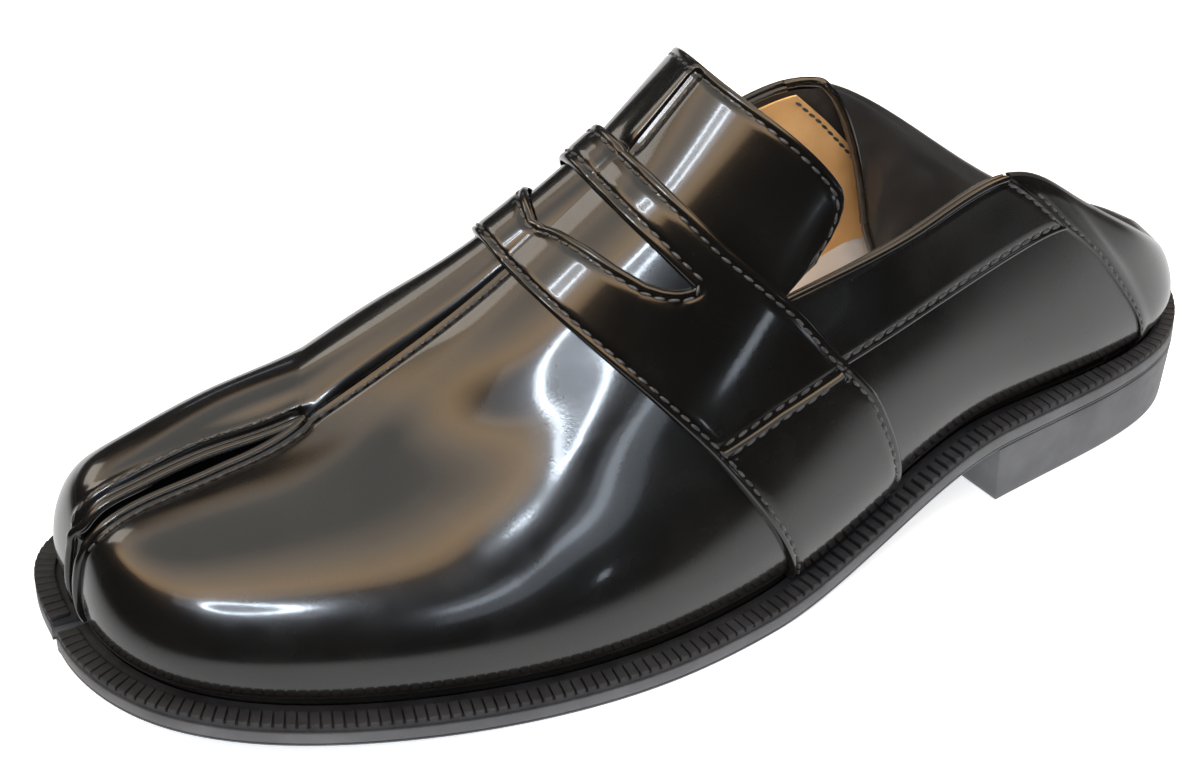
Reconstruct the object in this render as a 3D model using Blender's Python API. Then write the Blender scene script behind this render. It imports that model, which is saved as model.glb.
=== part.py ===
"""Split toe loafer, a left shoe that stands empty with its heel panel folded in.

Tables are in millimetres: x runs from the back of the heel to the toe, y towards
the outer (lateral) side of the foot and z up from the floor.
"""
import math
from collections import namedtuple

import bmesh
import bpy
import numpy as np

MM = 0.001
WELD = 0.00002             # points nearer than this are one, in metres
SHARP_ANGLE = 40.0
DENSE = 500                # points along a line before it is cut into rows

# Sole
TREAD_START = 150.0        # the tread lies flat on the floor from here
SPRING_START = 195.0       # and lifts towards the toe from here
TOE_TIP = 300.0
TOE_SPRING = 8.5
SEAT_START = 75.0          # the heel seat is level behind this
SEAT_LIFT = 16.6
OUTSOLE_THICK = 3.8
WELT_THICK = 2.5
WELT_WIDTH = 8.0           # from the rim to the foot of the upper
SEAT_WIDTH = 4.6           # the same at the back of the heel
WAIST_START = 30.0         # way along the rim where the welt starts to widen
WAIST_RUN = 80.0
RIB_PITCH = 6.8
RIB_DEPTH = 0.9
HEEL_TAPER = 1.3
HEEL_MIDDLE = (42.0, -3.4)
HEEL_HALF_WIDTH = 33.0
HEEL_RIM = 118.0           # way along the rim that takes in the whole heel
BREAST_X = 84.0
BREAST_SLANT = 0.16        # how far the breast runs forward for each mm to the inner side
CLEFT_Y = -14.0
SLOT_HALF = 1.8
SLOT_END = 262.0
RIM_STEP = 6.5
STATION_STEP = 9.0

# Upper
GAP = 0.35                 # clearance where pieces meet
LEATHER = 1.8
TUCK = 3.2                 # height of the wall that stands inside the welt
CLEFT_HALF = 2.2
CLEFT_STEP = 2.2           # from the rim of the cleft down to the next row of its wall
CLEFT_SHARE = 0.4          # and its largest share of the wall
WEB_SHARE = 0.45           # share of the cleft whose wall ends on the web between the lobes
WEB_DROP = 8.0             # depth of the cleft at its end
WEB_FLARE = 0.25           # share of the rest over which the two walls part
BEAD_REACH = 5.2
BEAD_HEIGHT = 0.5
BEAD_FRONT = 192.0         # the bead runs out under the strap, between these two places
BEAD_BACK = 156.0
BEAD_RUN = 8.0
LEAN_POWER = 1.3           # sections lean forward more towards their heads
SWELL_POWER = 0.6          # under 1 the sections swell most near their feet
STRAP_THICK = 1.6
STRAP_GAP = 0.5
STRAP_FOOT = 0.4           # the strap starts this far up the first row
STRAP_SAMPLES = 25
BAND_THICK = 1.1
BAND_STOP = 0.8            # the bands end this far behind the strap
GUIDE_START = 0.375        # share of the quarter behind which the strap does not shape it

# Insole
INSOLE_THICK = 3.0
INSOLE_GAP = 0.9
INSOLE_STEP = 7.5
INSOLE_TOE = 10.0          # way along the rim from the slot to the front of the insole
NOTCH_BACK = 6.0           # its notch reaches this far behind the toe slot
LOBE_START = 250.0
ARCH_RISE = 13.0           # the edge of the insole rises under the inner arch
ARCH_X = 108.0
ARCH_HALF = 46.0
ARCH_Y = -16.0
ARCH_WIDTH = 14.0
ARCH_CUTS = (0.35, 0.7)    # shares of that width with a row of points

# Plan of the rim, from the inner edge of the toe slot round the heel to its outer edge
OUTLINE = (
    # x, y
    (299.8, -15.8), (299.1, -26.5), (296.0, -37.5), (288.0, -46.8), (274.0, -50.4),
    (254.0, -51.6), (230.0, -52.4), (206.0, -51.8), (178.0, -47.6), (148.0, -41.5),
    (114.0, -37.4), (80.0, -37.2), (50.0, -37.4), (27.0, -34.8), (11.5, -27.8),
    (3.2, -17.5), (0.8, -7.0), (3.2, 4.0), (9.0, 15.3), (17.5, 23.6),
    (31.0, 29.5), (54.0, 33.8), (80.0, 37.4), (108.0, 43.0), (137.0, 49.4),
    (162.0, 54.2), (184.0, 55.6), (206.0, 53.6), (226.0, 49.8), (245.0, 44.6),
    (262.0, 38.4), (277.5, 30.2), (289.5, 19.8), (297.0, 7.0), (299.9, -6.0),
    (300.0, -12.2),
)

# A rib is one section of the upper, from its foot on the rim to its head.
# foot: way along the rim from the back of the heel; x, y, z: the head;
# sweep: arc in degrees, past 90 the section comes down again at its head;
# square: 1 is an ellipse, less is boxier; bulge: how far it swells over the welt;
# lean: 1 leans forward as it rises, 0 keeps to an upright plane.
Rib = namedtuple("Rib", "foot x y z sweep square bulge lean")

HEEL_OUTER = (
    Rib(0.0, 6.0, -6.0, 37.0, 60, 1.0, 2.6, 1),
    Rib(22.0, 11.0, 8.0, 41.0, 60, 1.0, 2.9, 1),
    Rib(36.0, 26.0, 18.0, 53.5, 60, 1.0, 3.4, 1),
    Rib(45.0, 51.0, 24.5, 71.5, 60, 1.0, 4.0, 1),
    Rib(54.0, 76.0, 28.5, 88.5, 60, 1.0, 4.0, 1),
)
QUARTER_OUTER = (
    HEEL_OUTER[-1],
    Rib(92.0, 106.0, 32.0, 83.5, 55, 1.0, 6.0, 1),
    Rib(130.0, 137.0, 34.0, 77.5, 50, 1.0, 7.0, 1),
)
VAMP_OUTER = (
    Rib(130.0, 158.0, -4.0, 102.0, 90, 0.70, 7.0, 1.0),
    Rib(164.0, 190.0, -5.5, 79.0, 90, 0.90, 6.0, 1.0),
    Rib(194.0, 213.0, -9.5, 63.0, 94, 0.92, 5.0, 0.8),
    Rib(224.0, 236.0, -14.0, 49.0, 100, 0.92, 5.0, 0.4),
    Rib(266.0, 257.0, -12.2, 44.2, 106, 0.90, 4.5, 0.1),
    Rib(302.0, 274.0, -12.2, 42.0, 106, 0.86, 4.0, 0.0),
    Rib(332.0, 284.5, -12.2, 39.0, 100, 0.84, 3.0, 0.0),
    Rib(355.0, 289.5, -12.2, 35.0, 92, 0.84, 1.5, 0.0),
)
HEEL_INNER = (
    HEEL_OUTER[0],
    Rib(-24.0, 12.0, -19.0, 39.0, 60, 1.0, 2.9, 1),
    Rib(-40.0, 30.0, -26.0, 45.5, 60, 1.0, 3.4, 1),
    Rib(-54.0, 60.0, -28.5, 65.0, 60, 1.0, 4.0, 1),
    Rib(-68.0, 91.0, -29.5, 88.5, 60, 1.0, 4.0, 1),
)
QUARTER_INNER = (
    HEEL_INNER[-1],
    Rib(-106.0, 116.0, -32.0, 86.5, 55, 1.0, 5.5, 1),
    Rib(-142.0, 141.0, -36.0, 77.5, 50, 1.0, 6.0, 1),
)
VAMP_INNER = (
    Rib(-142.0, 158.0, -4.0, 102.0, 99, 0.72, 6.0, 1.0),
    Rib(-174.0, 190.0, -5.5, 79.0, 106, 0.84, 5.0, 1.0),
    Rib(-202.0, 213.0, -9.5, 63.0, 116, 0.80, 5.0, 0.7),
    Rib(-230.0, 236.0, -14.0, 49.0, 126, 0.80, 5.0, 0.3),
    Rib(-262.0, 257.0, -15.8, 46.5, 124, 0.80, 4.5, 0.1),
    Rib(-290.0, 274.0, -15.8, 44.0, 118, 0.80, 4.0, 0.0),
    Rib(-314.0, 284.5, -15.8, 41.5, 110, 0.80, 3.0, 0.0),
    Rib(-336.0, 289.5, -15.8, 37.0, 96, 0.80, 1.5, 0.0),
)
VAMP_STEPS = (3, 3, 3, 3, 3, 3, 3)
HEEL_STEPS = (3, 3, 3, 3)
QUARTER_STEPS = (4, 4)
CLEFT_RIB = 3              # row of the vamp tables where the cleft ends

# Rows up a section: shares of its length between the tuck and the seam bead
SHARES = (0.0, 0.1, 0.2, 0.29, 0.38, 0.47, 0.56, 0.63, 0.70, 0.80, 0.90, 1.0)
BEAD = ((3.6, 1.0), (2.1, 1.0), (0.0, 0.2))   # way from the seam, share of the bead's height
BAND_ROW = 5
THROAT_ROW = 7

# The folded heel panel: a row for each heel rib, from the back to the corner of the quarter.
# x, y, z: free edge; turn: how far round the fold goes, in degrees; back: how far the panel sags back.
Fold = namedtuple("Fold", "x y z turn back")
FOLD_OUTER = (
    Fold(58.0, -4.0, 26.6, 100, 0),
    Fold(60.0, 2.5, 27.0, 112, 0),
    Fold(64.0, 8.5, 29.5, 132, 0),
    Fold(68.0, 14.5, 38.0, 150, 3),
    Fold(68.0, 20.5, 52.0, 165, 8),
)
FOLD_INNER = (
    FOLD_OUTER[0],
    Fold(62.0, -10.0, 27.0, 112, 0),
    Fold(70.0, -15.5, 29.5, 132, 0),
    Fold(77.0, -20.0, 37.0, 150, 3),
    Fold(80.0, -23.0, 49.0, 165, 8),
)
FOLD_RADIUS = 3.0
FOLD_START = 35.0          # lean of the wall where the fold begins, in degrees
FOLD_PULL = 0.2            # how far the panel keeps the fold's heading, as a share of its length
FOLD_ROWS = 4
FLAP_ROWS = 6

# Tongue
TONGUE_TIP = (140.0, -4.0, 119.5)
TONGUE_LOW_OUTER = (119.0, 30.5, 88.0)
TONGUE_LOW_INNER = (126.0, -35.0, 87.0)
TONGUE_SQUARE = 0.94
TONGUE_LEAN = 1.9          # the tongue's edge leans forward mostly near its tip
TONGUE_STEPS = 5
TONGUE_ROUND = 0.22        # share of the tongue's side that its rounded corner takes

# Slot of the saddle strap: shares of the way from the strap's back edge to its front edge
SLOT_TOP = 0.30
SLOT_LIP = 0.60
NOTCH_TIP = 0.74
SLOT_NARROW = 0.04        # left of the slot at its closed end
SLOT_FLARE = 1.5           # how fast the slot opens towards the middle
SLOT_ROW = 9               # row of the section where the slot ends
STRAP_STEPS = (2, 2, 3)


def smooth(value):
    share = np.clip(value, 0.0, 1.0)
    return share * share * (3.0 - 2.0 * share)


def spline(knots, rows):
    """Natural cubic through the rows, as a function of the knot value."""
    knots = np.asarray(knots, float)
    rows = np.asarray(rows, float)
    width = np.diff(knots)
    count = len(knots)
    matrix = np.eye(count)
    right = np.zeros_like(rows)
    slope = np.diff(rows, axis=0) / width[:, None]
    for i in range(1, count - 1):
        matrix[i, i - 1:i + 2] = width[i - 1], 2 * (width[i - 1] + width[i]), width[i]
        right[i] = 6 * (slope[i] - slope[i - 1])
    bend = np.linalg.solve(matrix, right)

    def at(value):
        value = np.atleast_1d(np.asarray(value, float))
        i = np.clip(np.searchsorted(knots, value) - 1, 0, count - 2)
        h = width[i][:, None]
        a = (knots[i + 1] - value)[:, None] / h
        b = 1.0 - a
        curve = (a ** 3 - a) * bend[i] + (b ** 3 - b) * bend[i + 1]
        return a * rows[i] + b * rows[i + 1] + curve * h * h / 6.0

    return at


def measure_rim():
    """Points of the rim and the way along it, zero at the back of the heel."""
    points = np.array(OUTLINE)
    chord = np.concatenate([[0.0], np.cumsum(np.hypot(*np.diff(points, axis=0).T))])
    path = spline(chord, points)(np.linspace(0.0, chord[-1], 6 * DENSE))
    way = np.concatenate([[0.0], np.cumsum(np.hypot(*np.diff(path, axis=0).T))])
    return path, way - way[np.argmin(path[:, 0])]


RIM_PATH, RIM_WAY = measure_rim()
RIM_SLOPE = np.gradient(RIM_PATH, RIM_WAY, axis=0)
ORIGIN = (RIM_PATH.min(axis=0) + RIM_PATH.max(axis=0)) / 2.0


def along(table, way):
    return np.stack([np.interp(way, RIM_WAY, column) for column in table.T], axis=-1)


def rim_direction(way):
    slope = along(RIM_SLOPE, way)
    return slope / np.linalg.norm(slope, axis=-1, keepdims=True)


def rim(way, inset=0.0):
    """Point of the rim in plan, or of a line inside it."""
    slope = rim_direction(way)
    outward = np.stack([-slope[..., 1], slope[..., 0]], axis=-1)
    return along(RIM_PATH, way) - outward * inset


def welt_width(way):
    """From the rim to the foot of the upper, narrower round the heel."""
    return SEAT_WIDTH + (WELT_WIDTH - SEAT_WIDTH) * smooth((np.abs(way) - WAIST_START) / WAIST_RUN)


def tread(x):
    """Height of the underside of the outsole."""
    spring = TOE_SPRING * np.clip((x - SPRING_START) / (TOE_TIP - SPRING_START), 0.0, 2.0) ** 2
    seat = SEAT_LIFT * smooth((TREAD_START - x) / (TREAD_START - SEAT_START))
    return spring + seat


def bed(x):
    """Height of the top of the outsole."""
    return tread(x) + OUTSOLE_THICK


def section(rib):
    """Dense line of one rib from the foot to the head, and its outward direction."""
    foot = rim(rib.foot, welt_width(rib.foot))
    slope = rim_direction(rib.foot)
    outward = np.array([-slope[1], slope[0]])
    low = bed(foot[0]) + GAP
    base = low + TUCK
    angle = np.linspace(0.0, math.radians(rib.sweep), DENSE)
    across = np.sign(np.cos(angle)) * np.abs(np.cos(angle)) ** rib.square
    rise = np.abs(np.sin(angle)) ** rib.square
    inward = (1.0 - across) / (1.0 - across[-1])
    upward = rise / rise[-1]
    swell = rib.bulge * np.sin(math.pi * np.clip(upward, 0.0, 1.0) ** SWELL_POWER)
    forward = rib.lean * upward ** LEAN_POWER + (1.0 - rib.lean) * inward
    x = foot[0] + (rib.x - foot[0]) * forward + outward[0] * swell
    y = foot[1] + (rib.y - foot[1]) * inward + outward[1] * swell
    z = base + (rib.z - base) * upward
    line = np.stack([x, y, z], axis=-1)
    return np.vstack([[foot[0], foot[1], low], line]), slope


def rows_of(line, ways):
    """Points at given ways along a line, and the line's length."""
    length = np.concatenate([[0.0], np.cumsum(np.linalg.norm(np.diff(line, axis=0), axis=1))])
    return np.stack([np.interp(ways, length, column) for column in line.T], axis=-1), length[-1]


def line_length(line):
    return float(np.linalg.norm(np.diff(line, axis=0), axis=1).sum())


def outward_normals(points, slope):
    """Normals of a section line, away from the foot."""
    direction = np.gradient(points, axis=0)
    normal = np.cross(direction, np.array([slope[0], slope[1], 0.0]))
    return normal / np.maximum(np.linalg.norm(normal, axis=1, keepdims=True), 1e-9)


def bead_height(head_x):
    """The seam bead runs out under the saddle strap."""
    return BEAD_HEIGHT * (smooth((head_x - BEAD_FRONT) / BEAD_RUN) + smooth((BEAD_BACK - head_x) / BEAD_RUN))


def vamp_rib(rib):
    """Points of one rib of the vamp, a row each, with the raised seam at its head."""
    line, slope = section(rib)
    length = line_length(line)
    span = length - TUCK - BEAD_REACH
    ways = [0.0] + [TUCK + share * span for share in SHARES] + [length - way for way, _ in BEAD]
    points, _ = rows_of(line, ways)
    normal = outward_normals(points, slope)
    normal[-1] = normal[-2]
    for row, (_, share) in enumerate(BEAD, start=len(SHARES) + 1):
        if row < len(points) - 1:
            points[row] += normal[row] * share * bead_height(rib.x)
    points[-1, 2] += BEAD[-1][1] * bead_height(rib.x)
    return points


def step_places(steps):
    """Places along the rows of a table, with so many steps after each row."""
    places = [i + k / step for i, step in enumerate(steps) for k in range(step)]
    return np.array(places + [float(len(steps))])


def between(table, places):
    """Ribs or folds at places along a table, a whole number for each of its rows."""
    kind = type(table[0])
    return [kind(*row) for row in spline(range(len(table)), table)(places)]


def vamp_ribs(table, places):
    """Ribs of one half of the vamp: both halves have the same heads as far as the cleft."""
    shared = between(VAMP_OUTER, places)
    ribs = between(table, places)
    for i, place in enumerate(places):
        if place <= CLEFT_RIB:
            ribs[i] = ribs[i]._replace(x=shared[i].x, y=shared[i].y, z=shared[i].z)
        elif place < CLEFT_RIB + 1:
            half = table[CLEFT_RIB + 1].y - CLEFT_Y
            ribs[i] = ribs[i]._replace(y=CLEFT_Y + half * math.sqrt(place - CLEFT_RIB))
    return ribs


def quarter_rib(rib, guide, share):
    """Points of one rib of a quarter; near the strap it takes the shape of the guide rib."""
    line, _ = section(rib)
    shares = np.array(SHARES[:THROAT_ROW]) / SHARES[THROAT_ROW - 1]
    own, _ = rows_of(line, TUCK + (line_length(line) - TUCK) * shares)
    own = np.vstack([line[:1], own])
    part = (guide - guide[0]) / (guide[-1] - guide[0])
    copy = own[0] + (own[-1] - own[0]) * part[:, [0, 2, 2]]
    copy[:, 1] += guide[:, 1] - guide[0, 1] - (guide[-1, 1] - guide[0, 1]) * part[:, 2]
    copy[1] = own[1]
    return own * (1.0 - share) + copy * share


def fold_rows(head, fold, inward):
    """The folded panel beyond the head of a heel rib: round the fold, then down to its free edge."""
    up = np.array([0.0, 0.0, 1.0])
    start = math.radians(FOLD_START)
    end = math.radians(fold.turn)
    angle = np.linspace(start, end, FOLD_ROWS + 1)[1:, None]
    arc = inward * (math.cos(start) - np.cos(angle)) + up * (np.sin(angle) - math.sin(start))
    arc = head + arc * FOLD_RADIUS
    edge = np.array([fold.x, fold.y, fold.z])
    heading = inward * math.sin(end) + up * math.cos(end)
    knee = arc[-1] + heading * FOLD_PULL * np.linalg.norm(edge - arc[-1])
    knee[0] -= fold.back
    share = np.linspace(0.0, 1.0, FLAP_ROWS + 1)[1:, None]
    flap = (1 - share) ** 2 * arc[-1] + 2 * share * (1 - share) * knee + share ** 2 * edge
    return np.vstack([arc, flap])


def heel_columns(table, folds, guide):
    """Ribs of the heel from the back to the corner of the quarter, with the folded panel."""
    columns = []
    places = step_places(HEEL_STEPS)
    for rib, fold in zip(between(table, places), between(folds, places)):
        wall = quarter_rib(rib, guide, 0.0)
        slope = rim_direction(rib.foot)
        inward = np.array([slope[1], -slope[0], 0.0])
        columns.append(np.vstack([wall, fold_rows(wall[-1], fold, inward)]))
    return np.array(columns)


def quarter_columns(table, guide):
    """Ribs of a quarter from its rear corner to the strap."""
    ribs = between(table, step_places(QUARTER_STEPS))
    shares = smooth((np.linspace(0.0, 1.0, len(ribs)) - GUIDE_START) / (1.0 - GUIDE_START))
    columns = [quarter_rib(rib, guide, share) for rib, share in zip(ribs, shares)]
    columns[-1] = guide.copy()
    return np.array(columns)


def tongue_edge(low_corner, ways):
    """The tongue's free edge from its low corner to its tip, with rows at shares of its length."""
    low = np.array(low_corner)
    tip = np.array(TONGUE_TIP)
    angle = np.linspace(0.0, math.pi / 2, DENSE)
    inward = 1.0 - np.cos(angle) ** TONGUE_SQUARE
    upward = np.sin(angle) ** TONGUE_SQUARE
    share = np.stack([upward ** TONGUE_LEAN, inward, upward], axis=-1)
    line = low + (tip - low) * share
    return rows_of(line, ways * line_length(line))[0]


def tongue_columns(rib, low_corner):
    """The vamp's last rib above the throat, carried back to the tongue's edge."""
    start = rib[THROAT_ROW:]
    climb = np.concatenate([[0.0], np.cumsum(np.linalg.norm(np.diff(start, axis=0), axis=1))])
    end = tongue_edge(low_corner, climb / climb[-1])
    corner = np.clip(climb / climb[-1] / TONGUE_ROUND, 0.0, 1.0)
    length = np.sqrt(1.0 - (1.0 - corner) ** 2)[:, None]
    return np.array([start + (end - start) * length * k / TONGUE_STEPS for k in range(TONGUE_STEPS + 1)])


def cleft_columns(columns, side):
    """The wall of one lobe inside the cleft, from the rim of the cleft down to the sole."""
    heads = columns[:, -1]
    front = columns[-1][::-1]
    start = heads[0] - [0.0, 0.0, WEB_DROP]
    end = np.array([SLOT_END, CLEFT_Y, bed(SLOT_END) + GAP])
    result = []
    for head, share in zip(heads, np.linspace(0.0, 1.0, len(heads))):
        if share < WEB_SHARE:
            web = share / WEB_SHARE
            foot = start + (end - start) * [web, web, math.sin(web * math.pi / 2)]
        else:
            run = (share - WEB_SHARE) / (1.0 - WEB_SHARE)
            foot = end + (front[-1] - end) * run
            foot[1] = CLEFT_Y + side * CLEFT_HALF * min(1.0, run / WEB_FLARE)
            foot[2] = bed(foot[0]) + GAP
        first = min(CLEFT_STEP / max(np.linalg.norm(foot - head), CLEFT_STEP), CLEFT_SHARE)
        shares = np.concatenate([[0.0], np.linspace(first, 1.0, len(front) - 1)])
        result.append(head + (foot - head) * shares[:, None])
    result[-1] = front
    return np.array(result)


def half_upper(vamp, heel, quarter, folds, low_corner, side):
    """Grids of one half of the upper."""
    front = np.array([vamp_rib(rib) for rib in vamp_ribs(vamp, step_places(VAMP_STEPS))])
    guide = front[0][:THROAT_ROW + 1]
    lobe = sum(VAMP_STEPS[:CLEFT_RIB])
    return {
        "vamp": front,
        "cleft": cleft_columns(front[lobe:], side),
        "tongue": tongue_columns(front[0], low_corner),
        "quarter": quarter_columns(quarter, guide),
        "heel": heel_columns(heel, folds, guide),
    }


def upper_halves():
    """Grids of the outer and inner halves."""
    outer = half_upper(VAMP_OUTER, HEEL_OUTER, QUARTER_OUTER, FOLD_OUTER, TONGUE_LOW_OUTER, 1.0)
    inner = half_upper(VAMP_INNER, HEEL_INNER, QUARTER_INNER, FOLD_INNER, TONGUE_LOW_INNER, -1.0)
    return outer, inner


def to_scene(points):
    """Table millimetres to scene metres, about the middle of the sole."""
    return (np.asarray(points) - [ORIGIN[0], ORIGIN[1], 0.0]) * MM


def new_object(name, mesh, material):
    mesh.materials.append(material)
    thing = bpy.data.objects.new(name, mesh)
    bpy.context.scene.collection.objects.link(thing)
    return thing


def new_material(name, colour, roughness):
    material = bpy.data.materials.new(name)
    material.use_nodes = True
    shader = material.node_tree.nodes["Principled BSDF"]
    shader.inputs["Base Color"].default_value = (*colour, 1.0)
    shader.inputs["Roughness"].default_value = roughness
    return material


def finish_mesh(work, name):
    """Weld, face outwards and shade a mesh."""
    bmesh.ops.remove_doubles(work, verts=work.verts, dist=WELD)
    mesh = bpy.data.meshes.new(name)
    work.to_mesh(mesh)
    work.free()
    mesh.shade_smooth()
    mesh.set_sharp_from_angle(angle=math.radians(SHARP_ANGLE))
    return mesh


def add_grid(work, grid, flip, skip=None):
    """A sheet of quads over columns and rows of points."""
    verts = [[work.verts.new(point) for point in column] for column in to_scene(grid)]
    for i in range(len(verts) - 1):
        for j in range(len(verts[0]) - 1):
            if skip and skip(i, j):
                continue
            corners = [verts[i][j], verts[i][j + 1], verts[i + 1][j + 1], verts[i + 1][j]]
            work.faces.new(corners[::-1] if flip else corners)


def thicken(thing, thick, offset):
    """A wall on one side of a sheet: offset 1 is outside it and -1 inside."""
    wall = thing.modifiers.new("wall", "SOLIDIFY")
    wall.thickness = thick * MM
    wall.offset = offset
    wall.use_even_offset = False


def make_upper(halves, material):
    work = bmesh.new()
    for half, flip in zip(halves, (False, True)):
        add_grid(work, half["vamp"], flip)
        add_grid(work, half["quarter"], flip)
        add_grid(work, half["heel"], flip)
        add_grid(work, half["tongue"], not flip)
        add_grid(work, half["cleft"], flip)
    thing = new_object("upper", finish_mesh(work, "upper"), material)
    thicken(thing, LEATHER, -1.0)
    return thing


def grid_normals(grid):
    """Outward normals of a grid of the outer half."""
    along_columns = np.gradient(grid, axis=0)
    along_rows = np.gradient(grid, axis=1)
    normal = np.cross(along_rows, along_columns)
    return normal / np.linalg.norm(normal, axis=2, keepdims=True)


def ridge_normals(line):
    """Upward normals of a line along the middle of the shoe."""
    along_line = np.gradient(line, axis=0)
    normal = np.stack([-along_line[:, 2], 0.0 * along_line[:, 1], along_line[:, 0]], axis=-1)
    return normal / np.linalg.norm(normal, axis=1, keepdims=True)


def strap_share(row, last, step):
    """Place of a strap column between its back and front edges, shifted to follow the slot."""
    count_back, count_slot, count_front = STRAP_STEPS
    way = last - row
    room = last - SLOT_ROW
    open_share = np.clip(1.0 - way / room, 0.0, 1.0)
    lip = SLOT_TOP + SLOT_NARROW + (SLOT_LIP - SLOT_TOP - SLOT_NARROW) * min(1.0, open_share * SLOT_FLARE)
    if way == 0:
        lip = NOTCH_TIP
    if step <= count_back:
        return SLOT_TOP * step / count_back
    if step <= count_back + count_slot:
        return SLOT_TOP + (lip - SLOT_TOP) * (step - count_back) / count_slot
    return lip + (1.0 - lip) * (step - count_back - count_slot) / count_front


def strap_columns(vamp_table):
    """Rows of the strap over one half of the vamp, lifted off the leather below."""
    dense = np.array([vamp_rib(rib) for rib in vamp_ribs(vamp_table, np.linspace(0.0, 1.0, STRAP_SAMPLES))])
    normal = grid_normals(dense)
    steps = sum(STRAP_STEPS)
    last = dense.shape[1] - 1
    grid = np.zeros((steps + 1, last, 3))
    lift = np.zeros_like(grid)
    for step in range(steps + 1):
        for row in range(1, last + 1):
            place = strap_share(row, last, step) * (len(dense) - 1)
            low = min(int(place), len(dense) - 2)
            part = place - low
            grid[step, row - 1] = dense[low, row] * (1 - part) + dense[low + 1, row] * part
            lift[step, row - 1] = normal[low, row] * (1 - part) + normal[low + 1, row] * part
    grid[:, 0] += (grid[:, 1] - grid[:, 0]) * STRAP_FOOT
    lift[:, 0] = lift[:, 1]
    return grid, lift


def make_strap(material):
    work = bmesh.new()
    back, slot, _ = STRAP_STEPS
    for table, flip in ((VAMP_OUTER, False), (VAMP_INNER, True)):
        grid, lift = strap_columns(table)
        lift *= -1.0 if flip else 1.0
        lift[:, -1] = ridge_normals(grid[:, -1])
        grid = grid + lift * STRAP_GAP

        def in_slot(i, j):
            return back <= i < back + slot and j >= SLOT_ROW - 1

        add_grid(work, grid, flip, in_slot)
    thing = new_object("saddle_strap", finish_mesh(work, "saddle_strap"), material)
    thicken(thing, STRAP_THICK, 1.0)
    return thing


def make_band(name, half, flip, material):
    """Band along the top line of a quarter, from the strap to the corner."""
    quarter = half["quarter"]
    lift = grid_normals(quarter) * (-1.0 if flip else 1.0)
    raised = (quarter + lift * STRAP_GAP)[:, BAND_ROW:]
    away = raised[-2] - raised[-1]
    raised[-1] += away / np.linalg.norm(away, axis=1, keepdims=True) * BAND_STOP
    work = bmesh.new()
    add_grid(work, raised, flip)
    thing = new_object(name, finish_mesh(work, name), material)
    thicken(thing, BAND_THICK, 1.0)
    return thing


def slab(name, outline, low, high, material, cross_cuts=()):
    """A closed slab over a plan outline, cut into strips so that it can bend."""
    work = bmesh.new()
    corners = [work.verts.new((x, y, 0.0)) for x, y in outline]
    face = work.faces.new(corners)
    if face.normal.z > 0:
        face.normal_flip()
    top = bmesh.ops.extrude_face_region(work, geom=[face])
    risen = [item for item in top["geom"] if isinstance(item, bmesh.types.BMVert)]
    bmesh.ops.translate(work, verts=risen, vec=(0.0, 0.0, 1.0))
    xs = [x for x, _ in outline]
    cuts = [((x, 0.0, 0.0), (1.0, 0.0, 0.0)) for x in np.arange(min(xs), max(xs), STATION_STEP)[1:]]
    cuts += [((x, 0.0, 0.0), (1.0, 0.0, 0.0)) for x in (TREAD_START, SPRING_START, SEAT_START)]
    cuts += [((0.0, y, 0.0), (0.0, 1.0, 0.0)) for y in cross_cuts]
    for spot, normal in cuts:
        everything = work.verts[:] + work.edges[:] + work.faces[:]
        bmesh.ops.bisect_plane(work, geom=everything, dist=0.05, plane_co=spot, plane_no=normal)
    for vert in work.verts:
        x, y, level = vert.co
        height = high(x, y) if level > 0.5 else low(x, y)
        vert.co = to_scene((x, y, float(height)))
    bmesh.ops.recalc_face_normals(work, faces=work.faces)
    bmesh.ops.triangulate(work, faces=work.faces)
    return new_object(name, finish_mesh(work, name), material)


def rim_line(start, end, step, inset=lambda way: 0.0):
    """Plan points along the rim, or along a line inside it."""
    count = max(2, int(round((end - start) / step)) + 1)
    return [tuple(rim(way, inset(way))) for way in np.linspace(start, end, count)]


def slot_line(half_width, end, count=5):
    """The toe slot in plan, from its outer edge round its closed end."""
    angles = np.linspace(math.pi / 2, 3 * math.pi / 2, count)
    return [(end + half_width * math.cos(a), CLEFT_Y + half_width * math.sin(a)) for a in angles]


def make_outsole(material):
    line = rim_line(RIM_WAY[0], RIM_WAY[-1], RIM_STEP) + slot_line(SLOT_HALF, SLOT_END)
    return slab("outsole", line, lambda x, y: tread(x), lambda x, y: bed(x), material)


def make_heel(material):
    """The block under the heel seat: the rim behind the breast, tapered to the floor."""
    line = rim_line(-HEEL_RIM, HEEL_RIM, RIM_STEP)
    kept = [(x, y) for x, y in line if x < BREAST_X - BREAST_SLANT * y]
    ends = [(BREAST_X - BREAST_SLANT * y, y) for _, y in (kept[-1], kept[0])]
    thing = slab("heel", kept + ends, lambda x, y: 0.0, lambda x, y: tread(x) - GAP, material)
    middle = to_scene((*HEEL_MIDDLE, 0.0))
    share = 1.0 - HEEL_TAPER / HEEL_HALF_WIDTH
    for vert in thing.data.vertices:
        if vert.co.z < MM:
            vert.co.x = middle[0] + (vert.co.x - middle[0]) * share
            vert.co.y = middle[1] + (vert.co.y - middle[1]) * share
    return thing


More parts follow.
